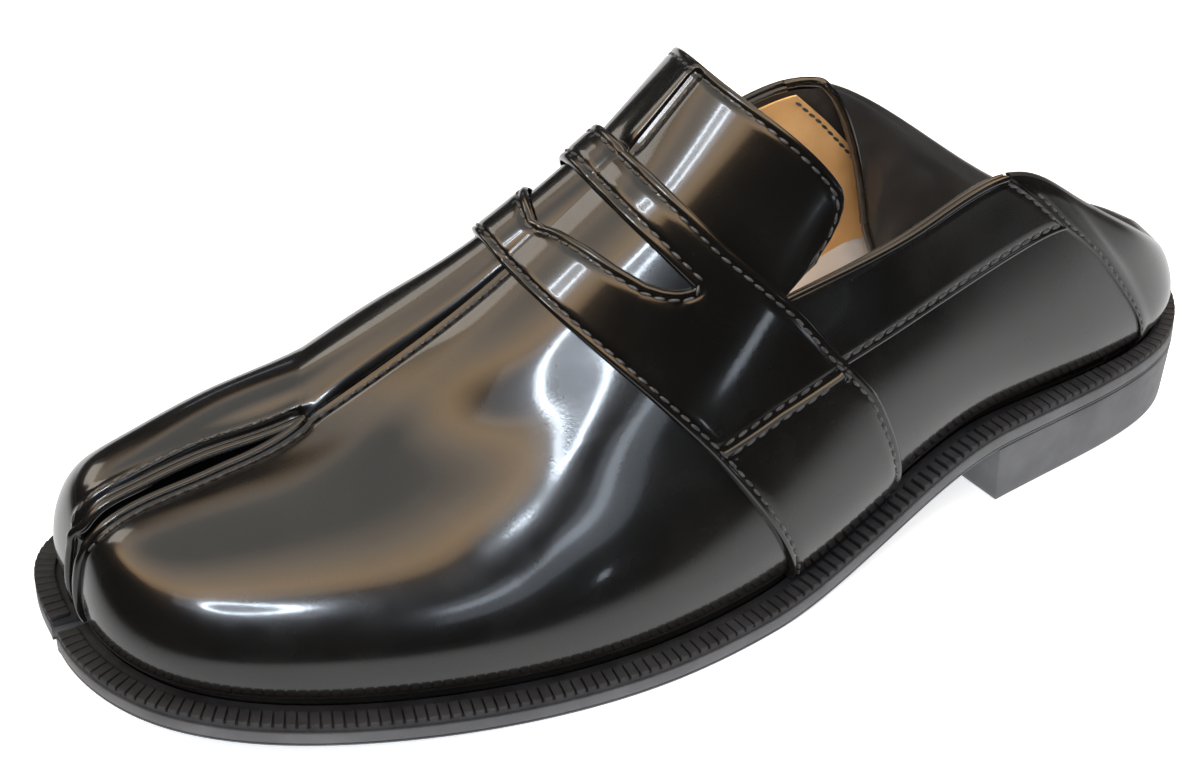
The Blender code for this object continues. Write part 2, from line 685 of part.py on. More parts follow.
def make_insole(material):
    """Footbed inside the upper, notched for the cleft; its inner edge rises under the arch."""
    edge = CLEFT_HALF + LEATHER + INSOLE_GAP
    line = rim_line(RIM_WAY[0] + INSOLE_TOE, RIM_WAY[-1] - INSOLE_TOE, INSOLE_STEP,
                    lambda way: welt_width(way) + LEATHER + INSOLE_GAP)
    line = [(x, y) for x, y in line if x < LOBE_START or abs(y - CLEFT_Y) > edge]
    notch = slot_line(edge, SLOT_END - NOTCH_BACK)
    line += [(line[-1][0], CLEFT_Y + edge)] + notch + [(line[0][0], CLEFT_Y - edge)]

    def low(x, y):
        return bed(x) + GAP

    def high(x, y):
        arch = math.cos(min(abs(x - ARCH_X) / ARCH_HALF, 1.0) * math.pi / 2) ** 2
        return low(x, y) + INSOLE_THICK + ARCH_RISE * arch * smooth((ARCH_Y - y) / ARCH_WIDTH)

    cuts = [ARCH_Y - ARCH_WIDTH * share for share in ARCH_CUTS]
    return slab("insole", line, low, high, material, cuts)


def make_welt(material):
    """Ribbed band on the rim of the outsole, open at the toe slot."""
    ribs = int((RIM_WAY[-1] - RIM_WAY[0]) / RIB_PITCH)
    ways = np.linspace(RIM_WAY[0], RIM_WAY[-1], 2 * ribs + 1)
    outer = rim(ways)
    inner = rim(ways, (welt_width(ways) - GAP)[:, None])
    dip = RIB_DEPTH * (np.arange(len(ways)) % 2)
    low = bed(outer[:, 0]) + GAP
    high = bed(outer[:, 0]) + WELT_THICK
    ring = np.stack([
        np.column_stack([inner, low]),
        np.column_stack([inner, high]),
        np.column_stack([outer, high - dip]),
        np.column_stack([outer, low]),
    ], axis=1)
    work = bmesh.new()
    verts = [[work.verts.new(point) for point in column] for column in to_scene(ring)]
    for before, after in zip(verts[:-1], verts[1:]):
        for k in range(4):
            n = (k + 1) % 4
            work.faces.new((before[k], before[n], after[n], after[k]))
    work.faces.new(verts[0][::-1])
    work.faces.new(verts[-1])
    bmesh.ops.recalc_face_normals(work, faces=work.faces)
    return new_object("welt", finish_mesh(work, "welt"), material)


def clear_scene():
    for thing in list(bpy.data.objects):
        bpy.data.objects.remove(thing, do_unlink=True)


clear_scene()
LEATHER_BLACK = new_material("polished_leather", (0.012, 0.011, 0.011), 0.12)
RUBBER_BLACK = new_material("black_rubber", (0.02, 0.02, 0.021), 0.45)
FOOTBED = new_material("pale_footbed", (0.78, 0.76, 0.72), 0.6)
HALVES = upper_halves()
make_outsole(RUBBER_BLACK)
make_heel(RUBBER_BLACK)
make_welt(RUBBER_BLACK)
make_insole(FOOTBED)
make_upper(HALVES, LEATHER_BLACK)
make_strap(LEATHER_BLACK)
make_band("quarter_band_lateral", HALVES[0], False, LEATHER_BLACK)
make_band("quarter_band_medial", HALVES[1], True, LEATHER_BLACK)
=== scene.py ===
# %% [markdown]
# # A polished split toe loafer
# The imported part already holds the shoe's pieces as plain solids: sole, heel, welt, footbed, upper,
# saddle strap and bands. This lesson dresses them: it models each visible piece again with its seams,
# rolled edges and stitches, and gives it a finish. We start by loading the solids as a fixed frame.

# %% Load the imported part
import math
from collections import namedtuple

import bpy
import numpy as np
from mathutils import Matrix, Vector


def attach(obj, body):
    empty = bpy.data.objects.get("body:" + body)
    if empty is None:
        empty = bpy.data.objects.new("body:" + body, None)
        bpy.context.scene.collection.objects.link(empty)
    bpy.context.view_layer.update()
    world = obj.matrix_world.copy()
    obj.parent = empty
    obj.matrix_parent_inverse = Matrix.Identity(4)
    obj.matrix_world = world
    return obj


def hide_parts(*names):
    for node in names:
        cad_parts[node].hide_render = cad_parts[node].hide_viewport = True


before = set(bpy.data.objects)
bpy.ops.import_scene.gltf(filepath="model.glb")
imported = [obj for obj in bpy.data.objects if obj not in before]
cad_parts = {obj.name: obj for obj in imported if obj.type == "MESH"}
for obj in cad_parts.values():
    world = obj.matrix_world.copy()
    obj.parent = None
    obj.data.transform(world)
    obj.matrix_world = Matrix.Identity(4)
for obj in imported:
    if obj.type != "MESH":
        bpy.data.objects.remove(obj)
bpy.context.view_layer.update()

print("packed nodes:", sorted(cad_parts))

# %% [markdown]
# ## The camera
# The photograph looks down on the toe and the outer side with a long lens. The numbers below were
# fitted to the edges of the sole: a target on the shoe, two angles, a small roll and a distance.
# Building the camera's matrix from its right, up and back directions keeps all of them exact.

# %% Camera
VIEW_AZIMUTH = 151.60
VIEW_ELEVATION = 35.85
VIEW_ROLL = -0.24
VIEW_DISTANCE = 0.688
VIEW_TARGET = Vector((0.0005, -0.0327, 0.020))
VIEW_LENS, SENSOR_WIDTH = 83.2, 36.0


def make_camera():
    turn, lift, roll = (math.radians(a) for a in (VIEW_AZIMUTH, VIEW_ELEVATION, VIEW_ROLL))
    back = Vector((math.sin(turn) * math.cos(lift), -math.cos(turn) * math.cos(lift), math.sin(lift)))
    level = Vector((math.cos(turn), math.sin(turn), 0.0))
    rise = back.cross(level)
    right = level * math.cos(roll) + rise * math.sin(roll)
    up = rise * math.cos(roll) - level * math.sin(roll)
    bpy.ops.object.camera_add()
    camera = bpy.context.object
    camera.name = "photo_camera"
    turned = Matrix((right, up, back)).transposed().to_4x4()
    camera.matrix_world = Matrix.Translation(VIEW_TARGET + back * VIEW_DISTANCE) @ turned
    camera.data.sensor_width = SENSOR_WIDTH
    camera.data.lens = VIEW_LENS
    camera.data.clip_start = 0.01
    bpy.context.scene.camera = camera
    return camera


CAMERA = make_camera()
print("camera stands at", [round(c, 3) for c in CAMERA.location])

# %% [markdown]
# ## Floor and light
# Polished black leather has almost no colour of its own: what we see is the room in it. A wide warm
# ceiling gives the broad sheen on the vamp, and the white table lights the lower sides. Floor, table and
# ceiling come first. The leather mirrors the table only as far as its edges, so a disc that reflections
# alone can see lies on the floor and goes dark beyond them. Photographers use black cards for that.

# %% Floor, table and ceiling
MM = 0.001
FLOOR_SIZE, FLOOR_DROP, FLOOR_GLOW, PAPER = 6.0, 0.0002, 0.62, (0.82, 0.84, 0.86)
TABLE_LIFT, TABLE_REACH, TABLE_GLOW, TABLE_COLOUR = 0.0003, 3.0, 0.85, (0.004, 0.004, 0.004)
TABLE_EDGES = (            # axis, where the table begins to fade and where it ends: front, toe and heel
    ("Y", 0.085, 0.185), ("X", 0.16, 0.30), ("X", -0.30, -0.60),
)
CEILING_PLACE, CEILING_REACH, CEILING_GLOW = (0.20, -0.40, 1.2), (1.75, 1.40, 1.0), 3.0
CEILING_FADE = (-0.25, -0.85)
CEILING_TINTS = (          # from the edge to the middle
    (0.02, (0.0, 0.0, 0.0)), (0.10, (0.66, 0.44, 0.25)), (0.23, (1.0, 0.70, 0.41)),
    (0.48, (0.60, 0.50, 0.40)), (0.72, (0.25, 0.245, 0.23)),
)
WORLD_GREY = 0.03


def deselect():
    bpy.ops.object.select_all(action="DESELECT")


def put(node, values):
    """Set input sockets of a node by their names."""
    for socket, value in values.items():
        node.inputs[socket].default_value = value


def plain_material(name, colour, glow=0.0):
    material = bpy.data.materials.new(name)
    material.use_nodes = True
    put(material.node_tree.nodes["Principled BSDF"], {
        "Base Color": (*colour, 1.0), "Roughness": 0.9, "Specular IOR Level": 0.1,
        "Emission Color": (1.0, 1.0, 1.0, 1.0), "Emission Strength": glow})
    return material


def make_floor():
    deselect()
    bpy.ops.mesh.primitive_plane_add(size=FLOOR_SIZE, location=(0.0, 0.0, -FLOOR_DROP))
    floor = bpy.context.object
    floor.name = "studio_floor"
    floor.data.materials.append(plain_material("white_paper", PAPER, FLOOR_GLOW))


def fade_along(nodes, link, value, low, high):
    """One at the low value, nought at the high one, and a soft step between."""
    fade = nodes.new("ShaderNodeMapRange")
    fade.interpolation_type = "SMOOTHSTEP"
    put(fade, {"From Min": low, "From Max": high, "To Min": 1.0, "To Max": 0.0})
    link(value, fade.inputs["Value"])
    return fade.outputs["Result"]


def product(nodes, link, *values):
    """The product of sockets and plain numbers."""
    total = values[0]
    for value in values[1:]:
        times = nodes.new("ShaderNodeMath")
        times.operation = "MULTIPLY"
        link(total, times.inputs[0])
        if isinstance(value, float):
            times.inputs[1].default_value = value
        else:
            link(value, times.inputs[1])
        total = times.outputs["Value"]
    return total


def glow_disc(name, vertices, radius, material):
    """A disc that the camera can't see, with what its glow is built from: nodes, link, place and axes."""
    deselect()
    bpy.ops.mesh.primitive_circle_add(vertices=vertices, radius=radius, fill_type="NGON")
    disc = bpy.context.object
    disc.name = name
    disc.visible_camera = False
    disc.data.materials.append(material)
    nodes, link = material.node_tree.nodes, material.node_tree.links.new
    where = nodes.new("ShaderNodeTexCoord").outputs["Object"]
    axes = nodes.new("ShaderNodeSeparateXYZ")
    link(where, axes.inputs["Vector"])
    return disc, nodes, link, where, axes.outputs


def make_mirrored_table():
    """The table as reflections see it: bright as far as its edges and dark beyond."""
    table, nodes, link, _, axes = glow_disc(
        "mirrored_table", 64, TABLE_REACH, plain_material("table_glow", TABLE_COLOUR))
    table.location.z = TABLE_LIFT
    fades = [fade_along(nodes, link, axes[axis], low, high) for axis, low, high in TABLE_EDGES]
    glow = product(nodes, link, *fades, TABLE_GLOW)
    link(glow, nodes["Principled BSDF"].inputs["Emission Strength"])
    table.visible_diffuse = False
    table.visible_shadow = False


def make_ceiling():
    """A wide glowing ceiling, olive in its middle and bright tan in a broad ring near its edge."""
    ceiling, nodes, link, where, axes = glow_disc(
        "warm_ceiling", 48, 1.0, plain_material("ceiling_glow", (0.0, 0.0, 0.0)))
    ceiling.location, ceiling.scale = CEILING_PLACE, CEILING_REACH
    ball = nodes.new("ShaderNodeTexGradient")
    ball.gradient_type = "SPHERICAL"
    link(where, ball.inputs["Vector"])
    tint = nodes.new("ShaderNodeValToRGB")
    stops = tint.color_ramp.elements
    while len(stops) < len(CEILING_TINTS):
        stops.new(0.5)
    for stop, (place, colour) in zip(stops, CEILING_TINTS):
        stop.position, stop.color = place, (*colour, 1.0)
    link(ball.outputs["Fac"], tint.inputs["Fac"])
    glow = product(nodes, link, fade_along(nodes, link, axes["Y"], *CEILING_FADE), CEILING_GLOW)
    link(glow, nodes["Principled BSDF"].inputs["Emission Strength"])
    link(tint.outputs["Color"], nodes["Principled BSDF"].inputs["Emission Color"])


def make_world():
    world = bpy.data.worlds.new("dark_room")
    world.use_nodes = True
    put(world.node_tree.nodes["Background"], {"Color": (WORLD_GREY, WORLD_GREY, WORLD_GREY, 1.0)})
    bpy.context.scene.world = world


make_floor()
make_mirrored_table()
make_ceiling()
make_world()
bpy.context.scene.view_settings.view_transform = "Standard"
print("the ceiling hangs", CEILING_PLACE[2], "m above the floor")

# %% [markdown]
# A lamp shows in the leather as its own mirror image, so each is placed by the direction from which the
# shoe sees it. Two ring lamps give the bright curls, with a weak halo round each. Panels and strips draw
# the long highlights. The fills light only the matt pieces. The groups are used near the end of the
# lesson, to choose which pieces a lamp shows in.

# %% Lamps
SHOE = Vector((0.0, 0.0, 0.05))
COOL, WARM, WHITE = (0.78, 0.88, 1.0), (1.0, 0.92, 0.82), (1.0, 1.0, 1.0)
RING_BAND = 0.32           # width of a ring lamp as a share of its reach
Lamp = namedtuple("Lamp", "name group azimuth elevation distance size radiance colour count")
LAMPS = (                  # angles in degrees, metres; count is the number of flat lamps in a ring
    Lamp("vamp_ring", "side", 52.5, 40.6, 1.6, (0.256, 0.102), 40.0, COOL, 20),
    Lamp("vamp_halo", "side", 45.0, 40.5, 1.65, (1.10, 0.34), 1.1, COOL, 1),
    Lamp("instep_ring", "instep", 4.0, 49.5, 1.3, (0.13, 0.13), 24.0, COOL, 14),
    Lamp("instep_halo", "instep", 6.0, 50.0, 1.35, (0.45, 0.45), 1.6, COOL, 1),
    Lamp("side_lamp", "free", 97.0, 3.5, 1.2, (0.06, 0.06), 5.0, COOL, 1),
    Lamp("side_panel", "side", 91.0, 23.0, 1.6, (0.62, 0.42), 1.1, COOL, 1),
    Lamp("side_strip", "side", 91.0, 25.0, 1.5, (0.55, 0.10), 4.0, COOL, 1),
    Lamp("low_lamp", "free", 128.0, 4.0, 1.2, (0.30, 0.07), 2.5, COOL, 1),
    Lamp("warm_panel", "free", -60.0, 31.0, 1.5, (0.45, 0.36), 2.6, WARM, 1),
    Lamp("far_window", "free", -105.0, 22.0, 1.5, (0.9, 0.10), 0.8, COOL, 1),
)


def toward(azimuth, elevation, distance):
    """A point in a direction from the shoe."""
    turn, rise = math.radians(azimuth), math.radians(elevation)
    level = math.cos(rise)
    return SHOE + Vector((level * math.cos(turn), level * math.sin(turn), math.sin(rise))) * distance


FILLS = (                  # name, place, size and radiance
    ("top_fill", Vector((0.0, 0.0, 1.6)), 1.4, 1.5),
    ("front_fill", toward(62.0, 45.0, 1.6), 1.4, 1.5),
    ("collar_fill", Vector((-0.32, 0.10, 0.62)), 0.25, 16.0),
)


def add_lamp(name, place, size, radiance, colour):
    """A flat lamp that faces the shoe; radiance is what the leather mirrors."""
    bpy.ops.object.light_add(type="AREA", location=place)
    lamp = bpy.context.object
    lamp.name = name
    lamp.data.shape = "RECTANGLE"
    lamp.data.size, lamp.data.size_y = size
    lamp.data.energy = radiance * math.pi * size[0] * size[1]
    lamp.data.color = colour
    lamp.rotation_euler = (place - SHOE).to_track_quat("Z", "Y").to_euler()
    return lamp


def add_ring(ring, centre):
    """An oval ring lamp that faces the shoe, of flat lamps end to end."""
    reach, count = ring.size, ring.count
    turn = (centre - SHOE).to_track_quat("Z", "Y").to_matrix()
    lamps = []
    for k in range(count):
        angle = 2.0 * math.pi * k / count
        offset = turn @ Vector((reach[0] * math.cos(angle), reach[1] * math.sin(angle), 0.0))
        along = (-reach[0] * math.sin(angle), reach[1] * math.cos(angle))
        speed = math.hypot(*along)
        size = (RING_BAND * reach[0] * reach[1] / speed, 2.0 * math.pi * speed / count)
        lamp = add_lamp(f"{ring.name}_{k}", centre + offset, size, ring.radiance, ring.colour)
        slant = math.atan2(along[1], along[0]) - math.pi / 2.0
        lamp.rotation_euler = (turn @ Matrix.Rotation(slant, 3, "Z")).to_euler()
        lamps.append(lamp)
    return lamps


LAMP_GROUPS = {"side": [], "instep": [], "free": []}
for lamp in LAMPS:
    place = toward(lamp.azimuth, lamp.elevation, lamp.distance)
    if lamp.count > 1:
        LAMP_GROUPS[lamp.group] += add_ring(lamp, place)
    else:
        LAMP_GROUPS[lamp.group].append(add_lamp(lamp.name, place, lamp.size, lamp.radiance, lamp.colour))
for name, place, size, radiance in FILLS:
    add_lamp(name, place, (size, size), radiance, WHITE).visible_glossy = False

# %% [markdown]
# ## Finishes
# Each finish is a small node tree on Object coordinates, so it sits still on the piece. Leather gets
# a deep black with slight patches, a soft lower gloss under a hard clear coat, and two bumps: a long
# faint wave, which makes reflections wander, and a fine grain. Rubber, thread, lining and footbed
# follow the same recipe with their own numbers.

# %% Finishes
Finish = namedtuple("Finish", "dark light scale rough_low rough_high grain grain_depth wave wave_depth")
PATCH_STOPS = (0.35, 0.68)         # values of the noise that give the dark and the light colour
ROUGH_SPAN, ROUGH_SCALE = (0.3, 0.7), 2.7


def make_finish(name, finish, coat=0.0, coat_rough=0.03, sheen=0.0):
    material = bpy.data.materials.new(name)
    material.use_nodes = True
    nodes = material.node_tree.nodes
    link = material.node_tree.links.new
    shader = nodes["Principled BSDF"]
    where = nodes.new("ShaderNodeTexCoord")

    def noise(scale, detail):
        node = nodes.new("ShaderNodeTexNoise")
        put(node, {"Scale": scale, "Detail": detail})
        link(where.outputs["Object"], node.inputs["Vector"])
        return node.outputs["Fac"]

    def bump(height, depth):
        node = nodes.new("ShaderNodeBump")
        put(node, {"Distance": depth * MM})
        link(height, node.inputs["Height"])
        return node

    colour = nodes.new("ShaderNodeValToRGB")
    for stop, place, tint in zip(colour.color_ramp.elements, PATCH_STOPS, (finish.dark, finish.light)):
        stop.position, stop.color = place, (*tint, 1.0)
    link(noise(finish.scale, 4.0), colour.inputs["Fac"])
    link(colour.outputs["Color"], shader.inputs["Base Color"])
    rough = nodes.new("ShaderNodeMapRange")
    put(rough, {"From Min": ROUGH_SPAN[0], "From Max": ROUGH_SPAN[1],
                "To Min": finish.rough_low, "To Max": finish.rough_high})
    link(noise(finish.scale * ROUGH_SCALE, 3.0), rough.inputs["Value"])
    link(rough.outputs["Result"], shader.inputs["Roughness"])
    wave = bump(noise(finish.wave, 1.0), finish.wave_depth)
    grain = bump(noise(finish.grain, 3.0), finish.grain_depth)
    link(wave.outputs["Normal"], grain.inputs["Normal"])
    for socket in ("Normal", "Coat Normal"):
        link(grain.outputs["Normal"], shader.inputs[socket])
    put(shader, {"Coat Weight": coat, "Coat Roughness": coat_rough, "Sheen Weight": sheen})
    return material


POLISHED = make_finish("polished_black_leather", Finish(
    (0.0020, 0.0019, 0.0018), (0.0048, 0.0044, 0.0042), 35.0, 0.20, 0.30, 1400.0, 0.005, 26.0, 0.02),
    coat=1.0, coat_rough=0.085)
# The folded flap's base is several times lighter than the polished leather's: painted sheen that stands in
# for the soft shine of the fold, under a rougher, weaker coat.
CREASED_PAINTED_SHEEN = make_finish("creased_leather_painted_sheen", Finish(
    (0.017, 0.017, 0.0175), (0.030, 0.030, 0.031), 60.0, 0.33, 0.45, 900.0, 0.03, 90.0, 0.12),
    coat=0.8, coat_rough=0.22)
DARK_LINING = make_finish("dark_lining", Finish(
    (0.010, 0.009, 0.008), (0.022, 0.020, 0.018), 120.0, 0.55, 0.70, 1100.0, 0.05, 60.0, 0.1), sheen=0.1)
TAN_LINING = make_finish("tan_lining", Finish(
    (0.74, 0.43, 0.165), (0.88, 0.55, 0.24), 55.0, 0.42, 0.60, 1200.0, 0.04, 70.0, 0.25))
RUBBER = make_finish("satin_black_rubber", Finish(
    (0.068, 0.072, 0.080), (0.100, 0.105, 0.115), 80.0, 0.34, 0.46, 1500.0, 0.02, 45.0, 0.08))
RIBBED = make_finish("ribbed_black_rubber", Finish(
    (0.010, 0.011, 0.0135), (0.020, 0.022, 0.027), 150.0, 0.50, 0.66, 700.0, 0.06, 200.0, 0.1))
THREAD = make_finish("waxed_black_thread", Finish(
    (0.020, 0.020, 0.021), (0.065, 0.065, 0.068), 900.0, 0.30, 0.42, 2600.0, 0.05, 1200.0, 0.1),
    coat=0.4, coat_rough=0.30)
FOOTBED = make_finish("pale_footbed_leather", Finish(
    (0.86, 0.85, 0.83), (0.94, 0.93, 0.92), 45.0, 0.50, 0.66, 1300.0, 0.04, 60.0, 0.15))
FINISHES = (POLISHED, CREASED_PAINTED_SHEEN, DARK_LINING, TAN_LINING, RUBBER, RIBBED, THREAD, FOOTBED)
print("finishes:", [finish.name for finish in FINISHES])

# %% [markdown]
# ## The rim and the sole's heights
# Everything is measured from the rim of the sole. A smooth curve through a short table of points is
# the rim in plan. We name places on it by the way along it from the back of the heel: positive on the
# outer side, negative on the inner side. Two functions give the height of the tread and of the bed.

# %% Rim and heights
TREAD_START, SPRING_START, TOE_TIP, TOE_SPRING = 150.0, 195.0, 300.0, 8.5
SEAT_START, SEAT_LIFT, OUTSOLE_THICK, WELT_THICK = 75.0, 16.6, 3.8, 2.5
WELT_WIDTH, SEAT_WIDTH, WAIST_START, WAIST_RUN = 8.0, 4.6, 30.0, 80.0
CLEFT_Y, SLOT_HALF, SLOT_END = -14.0, 1.8, 262.0
GAP, TUCK, LEATHER = 0.35, 3.2, 1.8
RIM_POINTS = 3000
OUTLINE = (                # x and y of points of the rim, in mm from the back of the heel
    (299.8, -15.8), (299.1, -26.5), (296.0, -37.5), (288.0, -46.8), (274.0, -50.4),
    (254.0, -51.6), (230.0, -52.4), (206.0, -51.8), (178.0, -47.6), (148.0, -41.5),
    (114.0, -37.4), (80.0, -37.2), (50.0, -37.4), (27.0, -34.8), (11.5, -27.8),
    (3.2, -17.5), (0.8, -7.0), (3.2, 4.0), (9.0, 15.3), (17.5, 23.6),
    (31.0, 29.5), (54.0, 33.8), (80.0, 37.4), (108.0, 43.0), (137.0, 49.4),
    (162.0, 54.2), (184.0, 55.6), (206.0, 53.6), (226.0, 49.8), (245.0, 44.6),
    (262.0, 38.4), (277.5, 30.2), (289.5, 19.8), (297.0, 7.0), (299.9, -6.0),
    (300.0, -12.2),
)


def smooth(value):
    share = np.clip(value, 0.0, 1.0)
    return share * share * (3.0 - 2.0 * share)


def unit(vectors):
    """Vectors of length one in the same directions."""
    return vectors / np.maximum(np.linalg.norm(vectors, axis=-1, keepdims=True), 1e-9)


def way_along(line):
    """The way from the start of a line to each of its points."""
    return np.concatenate([[0.0], np.cumsum(np.linalg.norm(np.diff(line, axis=0), axis=1))])


def read_rows(value, keys, rows):
    """Rows of a table at values between its keys."""
    return np.stack([np.interp(value, keys, column) for column in rows.T], axis=-1)


def spline(knots, rows):
    """Natural cubic through the rows, as a function of the knot value."""
    knots = np.asarray(knots, float)
    rows = np.asarray(rows, float)
    width = np.diff(knots)
    count = len(knots)
    matrix = np.eye(count)
    right = np.zeros_like(rows)
    slope = np.diff(rows, axis=0) / width[:, None]
    for i in range(1, count - 1):
        matrix[i, i - 1:i + 2] = width[i - 1], 2 * (width[i - 1] + width[i]), width[i]
        right[i] = 6 * (slope[i] - slope[i - 1])
    bend = np.linalg.solve(matrix, right)

    def at(value):
        value = np.atleast_1d(np.asarray(value, float))
        i = np.clip(np.searchsorted(knots, value) - 1, 0, count - 2)
        h = width[i][:, None]
        a = (knots[i + 1] - value)[:, None] / h
        b = 1.0 - a
        curve = (a ** 3 - a) * bend[i] + (b ** 3 - b) * bend[i + 1]
        return a * rows[i] + b * rows[i + 1] + curve * h * h / 6.0

    return at


def measure_rim():
    points = np.array(OUTLINE)
    chord = way_along(points)
    path = spline(chord, points)(np.linspace(0.0, chord[-1], RIM_POINTS))
    way = way_along(path)
    return path, way - way[np.argmin(path[:, 0])]


RIM_PATH, RIM_WAY = measure_rim()
RIM_SLOPE = np.gradient(RIM_PATH, RIM_WAY, axis=0)
ORIGIN = (RIM_PATH.min(axis=0) + RIM_PATH.max(axis=0)) / 2.0


def rim_direction(way):
    return unit(read_rows(way, RIM_WAY, RIM_SLOPE))


def rim(way, inset=0.0):
    """Point of the rim in plan, or of a line inside it."""
    slope = rim_direction(way)
    outward = np.stack([-slope[..., 1], slope[..., 0]], axis=-1)
    return read_rows(way, RIM_WAY, RIM_PATH) - outward * np.asarray(inset)[..., None]


def welt_width(way):
    return SEAT_WIDTH + (WELT_WIDTH - SEAT_WIDTH) * smooth((np.abs(way) - WAIST_START) / WAIST_RUN)


def tread(x):
    """Height of the underside of the outsole."""
    spring = TOE_SPRING * np.clip((x - SPRING_START) / (TOE_TIP - SPRING_START), 0.0, 2.0) ** 2
    seat = SEAT_LIFT * smooth((TREAD_START - x) / (TREAD_START - SEAT_START))
    return spring + seat


def bed(x):
    """Height of the top of the outsole."""
    return tread(x) + OUTSOLE_THICK


def to_scene(points):
    """Table millimetres to scene metres, about the middle of the sole."""
    return (np.asarray(points) - [ORIGIN[0], ORIGIN[1], 0.0]) * MM


print("way round the rim in mm:", round(float(RIM_WAY[-1] - RIM_WAY[0]), 1))

# %% [markdown]
# ## Sections of the upper
# A shoemaker thinks of an upper in sections over the last, and so do we. A rib is one section: its foot
# on the rim, its head on the ridge or the top line, and how round it is between them. A cubic through
# the rows of each table gives a rib at any place. Box modelling with a subdivision surface could give
# such a form too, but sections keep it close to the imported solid.

# %% Tables of ribs
Rib = namedtuple("Rib", "foot x y z sweep square bulge lean")
VAMP_OUTER = (
    Rib(130.0, 158.0, -4.0, 102.0, 90, 0.70, 7.0, 1.0),
    Rib(164.0, 190.0, -5.5, 79.0, 90, 0.90, 6.0, 1.0),
    Rib(194.0, 213.0, -9.5, 63.0, 94, 0.92, 5.0, 0.8),
    Rib(224.0, 236.0, -14.0, 49.0, 100, 0.92, 5.0, 0.4),
    Rib(266.0, 257.0, -12.2, 44.2, 106, 0.90, 4.5, 0.1),
    Rib(302.0, 274.0, -12.2, 42.0, 106, 0.86, 4.0, 0.0),
    Rib(332.0, 284.5, -12.2, 39.0, 100, 0.84, 3.0, 0.0),
    Rib(355.0, 289.5, -12.2, 35.0, 92, 0.84, 1.5, 0.0),
)
VAMP_INNER = (
    Rib(-142.0, 158.0, -4.0, 102.0, 99, 0.72, 6.0, 1.0),
    Rib(-174.0, 190.0, -5.5, 79.0, 106, 0.84, 5.0, 1.0),
    Rib(-202.0, 213.0, -9.5, 63.0, 116, 0.80, 5.0, 0.7),
    Rib(-230.0, 236.0, -14.0, 49.0, 126, 0.80, 5.0, 0.3),
    Rib(-262.0, 257.0, -15.8, 46.5, 124, 0.80, 4.5, 0.1),
    Rib(-290.0, 274.0, -15.8, 44.0, 118, 0.80, 4.0, 0.0),
    Rib(-314.0, 284.5, -15.8, 41.5, 110, 0.80, 3.0, 0.0),
    Rib(-336.0, 289.5, -15.8, 37.0, 96, 0.80, 1.5, 0.0),
)
WALL_OUTER = (
    Rib(0.0, 6.0, -6.0, 37.0, 60, 1.0, 2.6, 1),
    Rib(22.0, 11.0, 8.0, 41.0, 60, 1.0, 2.9, 1),
    Rib(36.0, 26.0, 18.0, 53.5, 60, 1.0, 3.4, 1),
    Rib(45.0, 51.0, 24.5, 71.5, 60, 1.0, 4.0, 1),
    Rib(54.0, 76.0, 28.5, 88.5, 60, 1.0, 4.0, 1),
    Rib(92.0, 106.0, 32.0, 83.5, 55, 1.0, 6.0, 1),
    Rib(130.0, 137.0, 34.0, 77.5, 50, 1.0, 7.0, 1),
)
WALL_INNER = (
    Rib(0.0, 6.0, -6.0, 37.0, 60, 1.0, 2.6, 1),
    Rib(-24.0, 12.0, -19.0, 37.6, 60, 1.0, 2.9, 1),
    Rib(-40.0, 30.0, -26.0, 43.4, 60, 1.0, 3.4, 1),
    Rib(-54.0, 60.0, -28.5, 65.0, 60, 1.0, 4.0, 1),
    Rib(-68.0, 91.0, -29.5, 88.5, 60, 1.0, 4.0, 1),
    Rib(-106.0, 116.0, -32.0, 86.5, 55, 1.0, 5.5, 1),
    Rib(-142.0, 141.0, -36.0, 77.5, 50, 1.0, 6.0, 1),
)
CLEFT_RIB = 3              # row of the vamp tables where the cleft ends
CORNER_RIB = 4             # row of the wall tables at the corner of the quarter
WALL_END = len(WALL_OUTER) - 1     # the wall's last row, where the vamp begins
LEAN_POWER, SWELL_POWER = 1.3, 0.6
PARTING_REACH = 16.0
SECTION_POINTS = 500


def section(rib):
    """Dense line of one rib from the welt to its head."""
    foot = rim(rib.foot, welt_width(rib.foot))
    slope = rim_direction(rib.foot)
    base = bed(foot[0]) + GAP + TUCK
    angle = np.linspace(0.0, math.radians(rib.sweep), SECTION_POINTS)
    across = np.sign(np.cos(angle)) * np.abs(np.cos(angle)) ** rib.square
    rise = np.abs(np.sin(angle)) ** rib.square
    inward = (1.0 - across) / (1.0 - across[-1])
    upward = rise / rise[-1]
    swell = rib.bulge * np.sin(math.pi * np.clip(upward, 0.0, 1.0) ** SWELL_POWER)
    forward = rib.lean * upward ** LEAN_POWER + (1.0 - rib.lean) * inward
    x = foot[0] + (rib.x - foot[0]) * forward - slope[1] * swell
    y = foot[1] + (rib.y - foot[1]) * inward + slope[0] * swell
    z = base + (rib.z - base) * upward
    return np.stack([x, y, z], axis=-1)


def even_rows(line, count, stop=1.0):
    """So many points along a line at even steps, as far as a share of its length."""
    way = way_along(line)
    return read_rows(np.linspace(0.0, way[-1] * stop, count), way, line)


def between(table, places):
    """Ribs or folds at places along a table, a whole number for each of its rows."""
    kind = type(table[0])
    return [kind(*row) for row in spline(range(len(table)), table)(places)]


def vamp_ribs(table, places):
    """Ribs of one half of the vamp: both halves have the same heads as far as the cleft."""
    shared = between(VAMP_OUTER, places)
    ribs = between(table, places)
    for i, place in enumerate(places):
        if place <= CLEFT_RIB:
            ribs[i] = ribs[i]._replace(x=shared[i].x, y=shared[i].y, z=shared[i].z)
    return ribs


